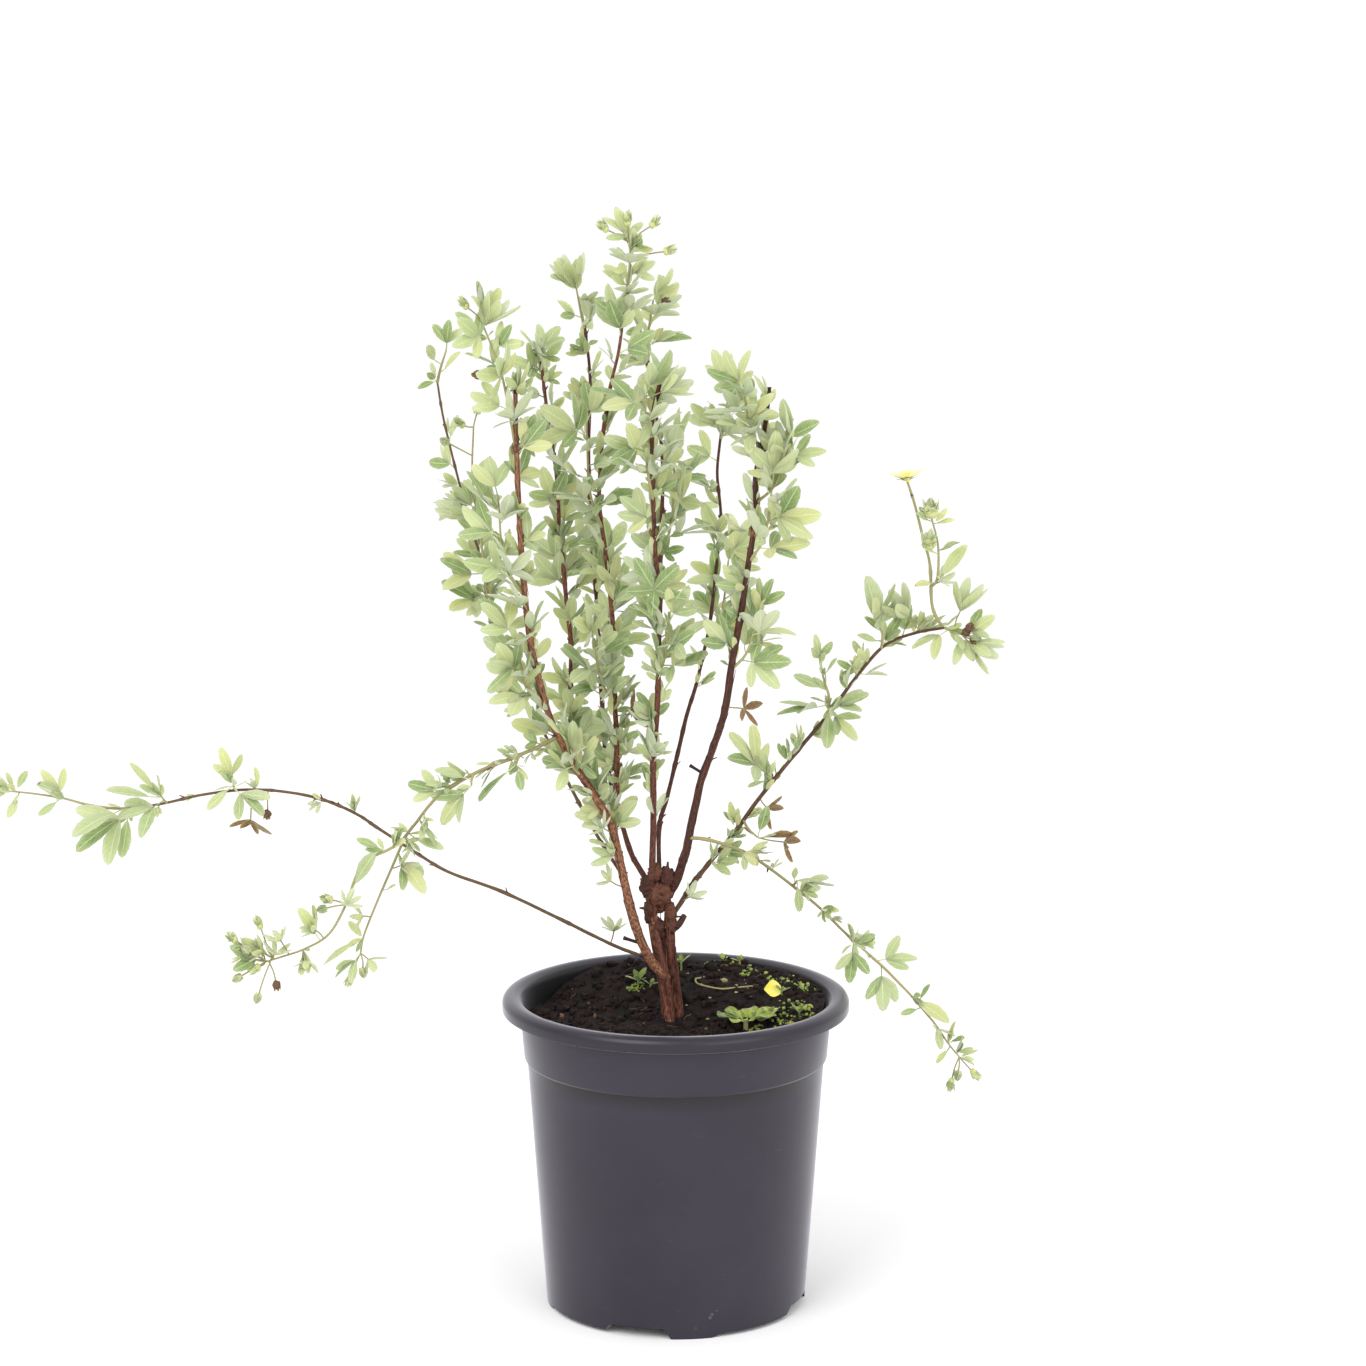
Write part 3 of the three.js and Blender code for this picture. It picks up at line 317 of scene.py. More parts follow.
class Finish:
    """A finish makes its material once, under its own name."""

    name: str

    def material(self) -> bpy.types.Material:
        """The finish's material, made at its first use."""
        made = bpy.data.materials.get(self.name)
        if made is None:
            made = bpy.data.materials.new(self.name)
            made.use_nodes = True
            self.draw(Graph(made))
        return made

    def draw(self, graph: Graph) -> None:
        """Draws the finish's nodes."""
        raise NotImplementedError


@dataclass(frozen=True)
class PotPlastic(Finish):
    """Satin dark grey moulded plastic, with faint scuffs, soil specks near the foot, and painted shade
    inside and under the lip.
    """

    name: str = "satin_pot_plastic"
    dark: Colour = shade(30, 24, 38)
    light: Colour = shade(40, 34, 49)
    dust: Colour = shade(88, 76, 66)
    # The painted shade colour for the inside of the pot and under the lip.
    painted_inner_shade: Colour = shade(10, 8, 11)

    def draw(self, graph: Graph) -> None:
        """Clouds, painted shade from the tint, long fine scuffs, and specks that thicken towards the foot.
        """
        place = graph.place()
        height = graph.parts(place)[2]
        clouds = graph.noise(place, 14, 5)
        scuffs = graph.noise(graph.stretched(place, (1.0, 1.0, 9.0)), 60, 6, 0.7)
        worn = graph.times(graph.band(scuffs, 0.62, 0.74), 0.35)
        outside = graph.mix(graph.band(clouds, 0.3, 0.75), self.dark, self.light)
        # Painted shade: the tint's first channel darkens the inside of the pot and the lip.
        body = graph.mix(graph.tint()[0], outside, self.painted_inner_shade)
        scuffed = graph.mix(worn, body, shade(80, 78, 86))
        specks = graph.band(graph.cells(place, 150), 0.16, 0.1)
        low = graph.band(height, 0.055, 0.0)
        patchy = graph.band(graph.noise(place, 38), 0.5, 0.66)
        dirt = graph.times(graph.times(specks, low), patchy)
        graph.paint(graph.mix(dirt, scuffed, self.dust), graph.band(clouds, 0.2, 0.8, 0.3, 0.42))
        graph.relief(graph.noise(place, 900, 2), 0.06, 0.2)
        graph.constants(Specular_IOR_Level=0.45, Sheen_Weight=0.85, Sheen_Roughness=0.26,
                        Sheen_Tint=(0.92, 0.9, 1.0, 1.0))


@dataclass(frozen=True)
class Peat(Finish):
    """Dark damp peat; its tint browns and lightens single crumbs."""

    name: str = "damp_peat"
    damp: Colour = shade(16, 10, 11)
    dry: Colour = shade(46, 32, 28)
    pale: Colour = shade(124, 100, 78)

    def draw(self, graph: Graph) -> None:
        """Fine clouds of damp and dry peat, with a few pale fibres."""
        place = graph.place()
        youth, brown, _ = graph.tint()
        clouds = graph.noise(place, 120, 8, 0.7)
        fine = graph.noise(place, 700, 4, 0.7)
        peat = graph.mix(graph.band(clouds, 0.4, 0.7), self.damp, self.dry)
        crumb = graph.mix(graph.times(brown, 0.7), peat, self.dry)
        graph.paint(graph.mix(youth, crumb, self.pale), graph.band(clouds, 0.3, 0.7, 0.72, 0.96))
        graph.relief(graph.plus(clouds, fine), 0.8, 0.8)
        graph.constants(Specular_IOR_Level=0.2)


@dataclass(frozen=True)
class Bark(Finish):
    """Fibrous bark that follows the stem, from old grey brown wood to young green twigs."""

    name: str = "fibrous_bark"
    ridge: Colour = shade(120, 70, 52)
    groove: Colour = shade(48, 27, 25)
    grey: Colour = shade(92, 76, 72)
    twig: Colour = shade(172, 168, 118)
    char: Colour = shade(30, 20, 19)
    # The bark's tan, also laid on the fibre ridges as a painted highlight.
    tan: Colour = shade(172, 112, 80)

    def draw(self, graph: Graph) -> None:
        """Long fibres round the stem, grey flakes, tan ridges that are partly a painted highlight, and the
        tint's green and dark ends.
        """
        skin = graph.skin()
        youth, dark, share = graph.tint()
        fibres = graph.noise(graph.stretched(skin, (7.0, 1.6, 1.0)), 2.2, 8, 0.65)
        flakes = graph.noise(graph.stretched(skin, (3.0, 1.1, 1.0)), 3.4, 3)
        wood = graph.mix(graph.band(fibres, 0.36, 0.64), self.groove, self.ridge)
        grey = graph.times(graph.band(flakes, 0.56, 0.68), 0.45)
        # Painted highlight, partly the bark's own tan: tan on the fibre ridges, as strong as the tint's
        # third channel.
        painted_ridge_highlight = graph.times(graph.band(share, 0.45, 1.0, 0.0, 0.75), graph.band(fibres, 0.42, 0.6))
        weathered = graph.mix(grey, graph.mix(painted_ridge_highlight, wood, self.tan), self.grey)
        young = graph.mix(youth, weathered, self.twig)
        graph.paint(graph.mix(dark, young, self.char), graph.band(fibres, 0.3, 0.7, 0.62, 0.86))
        graph.relief(graph.plus(fibres, flakes), 0.55, 0.5)
        graph.constants(Specular_IOR_Level=0.3)


@dataclass(frozen=True)
class Leaf(Finish):
    """A soft leaf: green above, paler and silkier below, with a light midrib and browned ends.

    The skin map's left half is the upper side and its right half the lower one, and it runs
    from the leaflet's foot at 0 to its tip at 1.
    """

    name: str = "silky_leaf"
    old: Colour = shade(160, 171, 130)
    young: Colour = shade(186, 195, 140)
    dark: Colour = shade(112, 132, 84)
    below: Colour = shade(180, 188, 160)
    rib: Colour = shade(202, 210, 176)
    brown: Colour = shade(112, 74, 50)
    yellow: Colour = shade(200, 194, 122)

    def draw(self, graph: Graph) -> None:
        """Midrib and side veins, mottling, browned ends and a silky sheen."""
        skin = graph.parts(graph.skin())
        youth, browned, share = graph.tint()
        place = graph.place()
        under = graph.maths("GREATER_THAN", skin[0], 0.5)
        doubled = graph.times(skin[0], 2.0)
        centred = graph.maths("SUBTRACT", graph.maths("FRACT", doubled), 0.5)
        across = graph.maths("ABSOLUTE", centred)
        mottle = graph.noise(place, 260, 3)
        green = graph.mix(graph.times(youth, 0.9), self.old, self.young)
        deep = graph.mix(graph.band(share, 0.5, 0.1, 0.0, 1.0), green, self.dark)
        varied = graph.mix(graph.band(share, 0.6, 1.0, 0.0, 0.45), deep, self.yellow)
        dappled = graph.mix(graph.band(mottle, 0.35, 0.7, 0.0, 0.16), varied, self.young)
        slant = graph.maths("SUBTRACT", graph.times(skin[1], 46.0), graph.times(across, 26.0))
        veins = graph.band(graph.maths("SINE", slant), 0.55, 1.0)
        veined = graph.mix(graph.times(veins, 0.16), dappled, self.rib)
        sides = graph.mix(graph.times(under, 0.72), veined, self.below)
        midrib = graph.band(across, 0.05, 0.018)
        ribbed = graph.mix(graph.times(midrib, 0.6), sides, self.rib)
        ends = graph.plus(skin[1], graph.times(graph.noise(place, 180), 0.8))
        dead = graph.band(graph.plus(ends, graph.times(browned, 1.5)), 1.85, 2.05)
        graph.paint(graph.mix(dead, ribbed, self.brown), graph.band(mottle, 0.3, 0.7, 0.52, 0.66))
        low = graph.maths("SUBTRACT", graph.times(veins, 0.3), midrib)
        graph.relief(low, 0.35, 0.15)
        graph.constants(Specular_IOR_Level=0.28, Sheen_Weight=0.25, Sheen_Roughness=0.45,
                        Subsurface_Weight=0.4, Subsurface_Scale=0.002,
                        Subsurface_Radius=(0.8, 1.0, 0.5))


FRESH_LEAF = Leaf(
    name="fresh_weed_leaf", old=shade(102, 122, 38), young=shade(166, 180, 72),
    dark=shade(58, 84, 34), below=shade(132, 150, 88), rib=shade(166, 184, 108),
    yellow=shade(160, 164, 84),
)


@dataclass(frozen=True)
class Petal(Finish):
    """A thin yellow petal, deeper at its foot; its tint pales it."""

    name: str = "yellow_petal"
    deep: Colour = shade(240, 222, 30)
    pale: Colour = shade(246, 240, 168)

    def draw(self, graph: Graph) -> None:
        """Fine lines along the petal, from the deep foot to the pale rim."""
        skin = graph.parts(graph.skin())
        youth = graph.tint()[0]
        lines = graph.noise(graph.stretched(graph.skin(), (26.0, 1.5, 1.0)), 2.0)
        pale = graph.times(graph.band(skin[1], 0.1, 0.8, 0.55, 1.0), youth)
        graph.paint(graph.mix(pale, self.deep, self.pale), graph.band(lines, 0.3, 0.7, 0.5, 0.62))
        graph.relief(lines, 0.3, 0.15)
        graph.constants(Specular_IOR_Level=0.25, Sheen_Weight=0.15)


@dataclass(frozen=True)
class WhiteFloor(Finish):
    """The studio's plain pale floor."""

    name: str = "white_floor"

    def draw(self, graph: Graph) -> None:
        """Matt white with the faintest cloud."""
        clouds = graph.noise(graph.place(), 1.2, 2)
        graph.paint(graph.mix(clouds, shade(246, 246, 246), shade(252, 252, 252)), 0.9)
        graph.constants(Specular_IOR_Level=0.1)


@dataclass(frozen=True)
class Tint:
    """What a part of a piece tells its finish: youth (painted shade on the pot), browning and a random
    share.
    """

    youth: float = 0.0
    browned: float = 0.0
    share: float = 0.5

    def colour(self) -> Colour:
        """The tint as the colour that the mesh keeps."""
        return self.youth, self.browned, self.share, 1.0


class Piece:
    """One piece in the making, in millimetres, with a skin map and a tint for its finishes."""

    WELD = 0.0005
    CHUNK = 300
    LUMPINESS = 1.7
    UPPER_SKIN, LOWER_SKIN = 0.25, 0.75
    HALF_SKIN = 0.24

    def __init__(self, name: str) -> None:
        """Starts an empty mesh."""
        self.name = name
        self.chunks: list[bpy.types.Mesh] = []
        self.finishes: list[Finish] = []
        self.open()

    def open(self) -> None:
        """Opens a small mesh to work in, because the operators are slow in a large one."""
        self.mesh = bmesh.new()
        self.skin = self.mesh.loops.layers.uv.new("skin")
        self.tint = self.mesh.verts.layers.float_color.new("tint")

    def close(self) -> None:
        """Sets the small mesh aside as a finished chunk."""
        bmesh.ops.recalc_face_normals(self.mesh, faces=self.mesh.faces)
        chunk = bpy.data.meshes.new(self.name)
        self.mesh.to_mesh(chunk)
        self.mesh.free()
        self.chunks.append(chunk)

    def make_room(self) -> None:
        """Starts a new chunk once the small mesh has grown."""
        if len(self.mesh.verts) > self.CHUNK:
            self.close()
            self.open()

    def dress(self, verts: Sequence[bmesh.types.BMVert], finish: Finish, tint: Tint) -> None:
        """Gives the faces of some vertices a finish and a tint."""
        if finish not in self.finishes:
            self.finishes.append(finish)
        index = self.finishes.index(finish)
        for vert in verts:
            vert[self.tint] = tint.colour()
            for face in vert.link_faces:
                face.material_index = index

    def tube(self, line: Line, radius: Radius, sides: int, spans: int, finish: Finish,
             tint: Tint = Tint()) -> None:
        """Rolls a sheet into a stem along a line and closes its ends.

        Args:
            line: The stem's middle line.
            radius: Its radius at a share of the line and an angle round it.
            sides: Faces round the stem.
            spans: Faces along it.
            finish: Its finish. The skin map goes once round it, and along it in centimetres.
            tint: Its tint.
        """
        self.make_room()
        sheet = bmesh.ops.create_grid(
            self.mesh, x_segments=sides, y_segments=spans, size=0.5, calc_uvs=True)["verts"]
        length = line.length() / 10
        for face in {face for vert in sheet for face in vert.link_faces}:
            for loop in face.loops:
                loop[self.skin].uv = (loop.vert.co.x + 0.5, (loop.vert.co.y + 0.5) * length)
        rings = {}
        for vert in sheet:
            along = vert.co.y + 0.5
            key = round(along * spans)
            if key not in rings:
                share = min(1.0, max(0.0, along))
                rings[key] = (share, line.at(share), *line.axes(share))
            share, middle, side, out = rings[key]
            angle = 2 * pi * (vert.co.x + 0.5)
            reach = radius(share, angle)
            vert.co = middle + reach * around(side, out, angle)
        self.dress(sheet, finish, tint)
        bmesh.ops.remove_doubles(self.mesh, verts=sheet, dist=self.WELD)
        kept = [vert for vert in sheet if vert.is_valid]
        rims = {edge for vert in kept for edge in vert.link_edges if edge.is_boundary}
        bmesh.ops.holes_fill(self.mesh, edges=list(rims), sides=0)
        self.dress(kept, finish, tint)

    def lump(self, centre: Sequence[float], size: Sequence[float], rough: float, finish: Finish,
             tint: Tint = Tint(), detail: int = 1) -> list[bmesh.types.BMVert]:
        """An uneven ball.

        Args:
            centre: Its middle.
            size: Its half sizes along X, Y and Z.
            rough: How uneven it is, as a share of its size.
            finish: Its finish.
            tint: Its tint.
            detail: 1 for twenty faces, 2 for eighty.

        Returns:
            The ball's vertices.
        """
        self.make_room()
        ball = bmesh.ops.create_icosphere(self.mesh, subdivisions=detail, radius=1.0)["verts"]
        middle = Vector(centre)
        for vert in ball:
            swell = 1 + rough * noise.noise(vert.co * self.LUMPINESS + middle)
            vert.co = Vector(c * s * swell for c, s in zip(vert.co, size)) + middle
        self.dress(ball, finish, tint)
        return ball

    def blade(self, shape: "Blade", place: Placing, finish: Finish, tint: Tint) -> None:
        """Stamps a thin leaf blade: a flattened ball, drawn out to the blade's outline.

        Args:
            shape: The blade's outline and how it bends.
            place: Takes the blade's own across, along and up to a place on the plant.
            finish: Its finish.
            tint: Its tint.
        """
        self.make_room()
        ball = bmesh.ops.create_uvsphere(
            self.mesh, u_segments=shape.columns, v_segments=shape.rows, radius=1.0)["verts"]
        local = {vert: shape.local(vert.co) for vert in ball}
        for face in {face for vert in ball for face in vert.link_faces}:
            upper = sum(local[vert][2] for vert in face.verts) > 0
            middle = self.UPPER_SKIN if upper else self.LOWER_SKIN
            for loop in face.loops:
                across, along, _ = local[loop.vert]
                loop[self.skin].uv = (middle + self.HALF_SKIN * across, along)
        for vert in ball:
            vert.co = place(*shape.bent(*local[vert]))
        self.dress(ball, finish, tint)

    def finish(self, slot: str, *nodes: str, smooth: bool = True,
               crease: float = 50.0) -> bpy.types.Object:
        """Brings the piece to metres and puts it in the scene.

        Args:
            slot: The material slot of the record that it stands for; not used.
            nodes: The frame's nodes that it stands for.
            smooth: Whether its faces are shaded smooth.
            crease: The angle in degrees from which an edge stays sharp.

        Returns:
            The finished object.
        """
        self.close()
        whole = bmesh.new()
        for chunk in self.chunks:
            whole.from_mesh(chunk)
            bpy.data.meshes.remove(chunk)
        bmesh.ops.scale(whole, vec=(MM, MM, MM), verts=whole.verts)
        for face in whole.faces:
            face.smooth = smooth
        data = bpy.data.meshes.new(self.name)
        whole.to_mesh(data)
        whole.free()
        for finish in self.finishes:
            data.materials.append(finish.material())
        if smooth:
            data.set_sharp_from_angle(angle=radians(crease))
        made = bpy.data.objects.new(self.name, data)
        bpy.context.scene.collection.objects.link(made)
        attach(made, BODY)
        if nodes:
            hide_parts(*nodes)
        LOG.info("%s: %d faces, for %s", self.name, len(data.polygons),
                 ", ".join(nodes) or "no node")
        return made


@dataclass(frozen=True)
class Blade:
    """A leaf blade's outline and the way it bends, in millimetres."""

    length: float
    width: float
    fold: float = 0.25
    arch: float = 0.12
    sweep: float = 0.0
    wave: float = 0.0
    thickness: float = 0.34
    narrow_foot: float = 0.62
    point: float = 0.08
    columns: int = 8
    rows: int = 6

    def local(self, ball: Vector) -> tuple[float, float, float]:
        """A ball's vertex as shares across (-1 to 1), along (0 to 1) and up (-1 to 1)."""
        around = hypot(ball.x, ball.y)
        along = (ball.z + 1) / 2
        if around < 1e-6:
            return 0.0, along, 0.0
        return ball.x / around, along, ball.y / around

    def bent(self, across: float, along: float, up: float) -> tuple[float, float, float]:
        """The shares as a place in millimetres, once the blade is folded, arched and swept."""
        round_end = 2 * sqrt(max(0.0, along * (1 - along)))
        foot = self.narrow_foot + (1 - self.narrow_foot) * eased(along, 0.0, 0.5)
        aside = across * round_end * foot * (1 - self.point * along**3) * self.width / 2
        rise = up * round_end * self.thickness / 2
        rise += self.fold * abs(aside) - self.arch * self.length * along**2
        rise += self.wave * self.width * across * sin(5 * along)
        return aside + self.sweep * self.length * along**2, along * self.length, rise


@dataclass(frozen=True)
class Stem:
    """A woody stem of the frame: its parent, its radii at foot and tip, and its points."""

    parent: str
    radii: tuple[float, float]
    points: Sequence[Point]


@dataclass(frozen=True)
class HandShoot:
    """A shoot whose leaves are listed one by one.

    Each leaf is: place along the shoot, lie in the front view and lean to the front in degrees,
    reach, leaflets (0 is a bud) and roll of the blade.
    """

    parent: str
    points: Sequence[Point]
    leaves: Sequence[tuple[float, ...]]


@dataclass(frozen=True)
class RuleShoot:
    """A shoot whose leaves stand round it at the golden angle, where they have room.

    A side shoot springs at a share of its parent and points by an azimuth and a rise, in
    degrees, over its length. A tip has points of its own. The first leaf stands at the start, a
    share of the shoot, and is turned by the phase, in degrees.
    """

    parent: str
    leaves: int
    reach: float
    at: float = 0.0
    azimuth: float = 0.0
    rise: float = 0.0
    length: float = 0.0
    points: Sequence[Point] = ()
    phase: float = 0.0
    start: float = 0.3


@dataclass(frozen=True)
class LeafPose:
    """One divided leaf: where it springs, how it points and faces, its reach and leaflets."""

    base: Array
    direction: Array
    face: Array
    reach: float
    count: int

    def axes(self) -> tuple[Array, Array, Array]:
        """The leaf's across, along and square directions."""
        across = unit(np.cross(self.direction, self.face))
        return across, self.direction, np.cross(across, self.direction)


STEMS = {
    "outer_left_stem": Stem("crown", (2.9, 1.3), (
        (-5, -3, 182), (-14, -7, 194), (-21, -10, 211), (-26, -13, 231), (-30, -15, 250),
        (-35, -18, 272), (-46, -22, 292), (-55, -26, 307), (-66, -30, 330), (-74, -34, 360),
        (-78, -36, 386), (-81, -36, 418), (-83, -34, 460), (-84, -30, 505),
    )),
    "second_left_stem": Stem("outer_left_stem", (1.7, 0.9), (
        (-46, -22, 292), (-53, -8, 305), (-56, 4, 322), (-57, 12, 340), (-57, 20, 363),
        (-60, 26, 392), (-63, 30, 425), (-65, 32, 457), (-69, 34, 484), (-73, 36, 516),
    )),
    "back_left_stem": Stem("crown", (1.7, 0.8), (
        (-16, 3, 236), (-25, 14, 250), (-33, 30, 275), (-38, 42, 293), (-40, 50, 313),
        (-42, 58, 343), (-44, 64, 381), (-47, 66, 420), (-48, 66, 464), (-47, 64, 503),
        (-50, 61, 536),
    )),
    "middle_left_stem": Stem("outer_left_stem", (1.8, 0.8), (
        (-30, -15, 250), (-33, -4, 264), (-32, 2, 286), (-32, 4, 314), (-33, 6, 335),
        (-33, 8, 362), (-35, 10, 389), (-38, 10, 417), (-41, 10, 444), (-39, 8, 477),
        (-35, 6, 504), (-30, 4, 526), (-27, 2, 550),
    )),
    "middle_stem": Stem("crown", (1.9, 1.1), (
        (-13, -3, 238), (-12, -9, 272), (-12, -16, 308), (-10, -20, 332), (-9, -24, 362),
        (-9, -26, 395), (-11, -28, 427), (-12, -30, 460), (-12, -32, 492), (-8, -34, 512),
    )),
    "middle_back_stem": Stem("middle_stem", (1.3, 0.8), (
        (-9, -24, 370), (-8, -10, 393), (-8, 4, 418), (-7, 14, 449), (-8, 20, 475), (-13, 24, 500),
        (-16, 26, 524),
    )),
    "slender_right_stem": Stem("crown", (1.4, 0.8), (
        (-9, 4, 238), (-9, 16, 263), (-5, 26, 276), (1, 38, 299), (6, 46, 319), (11, 54, 334),
        (15, 60, 350), (19, 66, 368), (23, 72, 402), (25, 74, 427), (23, 74, 452), (26, 72, 480),
    )),
    "right_stem": Stem("crown", (2.7, 1.1), (
        (-4, 3, 227), (1, 0, 238), (6, -6, 256), (9, -10, 272), (14, -16, 296), (20, -22, 314),
        (26, -28, 335), (30, -36, 362), (35, -42, 393), (39, -46, 422), (42, -48, 441),
        (42, -48, 463), (46, -46, 484), (49, -44, 508),
    )),
    "long_right_stem": Stem("crown", (1.6, 0.8), (
        (-6, 0, 212), (1, 4, 220), (9, 9, 232), (18, 12, 243), (31, 16, 258), (47, 22, 279),
        (68, 28, 304), (85, 32, 324), (101, 36, 345), (115, 38, 360), (131, 36, 367),
        (147, 30, 371),
    )),
    "flower_stalk": Stem("long_right_stem", (0.9, 0.7), (
        (146, 31, 371), (140, 27, 383), (138, 22, 407), (134, 20, 422), (129, 18, 441),
        (125, 16, 453),
    )),
    "trailing_right_stem": Stem("right_stem", (1.1, 0.7), (
        (7, -8, 262), (16, -12, 262), (26, -6, 258), (37, 6, 251), (46, 18, 243), (58, 28, 232),
        (80, 38, 212), (93, 42, 198), (108, 42, 184),
    )),
    "arching_left_stem": Stem("crown", (1.1, 0.75), (
        (-5, 3, 188), (-16, 12, 190), (-32, 16, 195), (-48, 19, 202), (-64, 20, 210),
        (-96, 22, 225), (-124, 20, 236), (-140, 18, 246), (-163, 12, 263), (-173, 8, 271),
        (-189, 2, 280), (-208, -4, 286), (-231, -10, 289), (-255, -14, 287), (-274, -16, 283),
        (-290, -16, 280),
    )),
    "drooping_left_stem": Stem("outer_left_stem", (1.2, 0.8), (
        (-62, -28, 322), (-74, -35, 317), (-87, -39, 312), (-106, -44, 305), (-125, -48, 294),
        (-138, -52, 279), (-146, -54, 269),
    )),
    "thin_left_stem": Stem("outer_left_stem", (1.1, 0.6), (
        (-29, -14, 243), (-38, -2, 254), (-47, 8, 267), (-58, 16, 286), (-66, 22, 301),
        (-74, 26, 317), (-88, 33, 341), (-96, 38, 363), (-103, 40, 383), (-106, 42, 404),
        (-113, 42, 429), (-119, 40, 453), (-126, 36, 485), (-129, 34, 505),
    )),
}

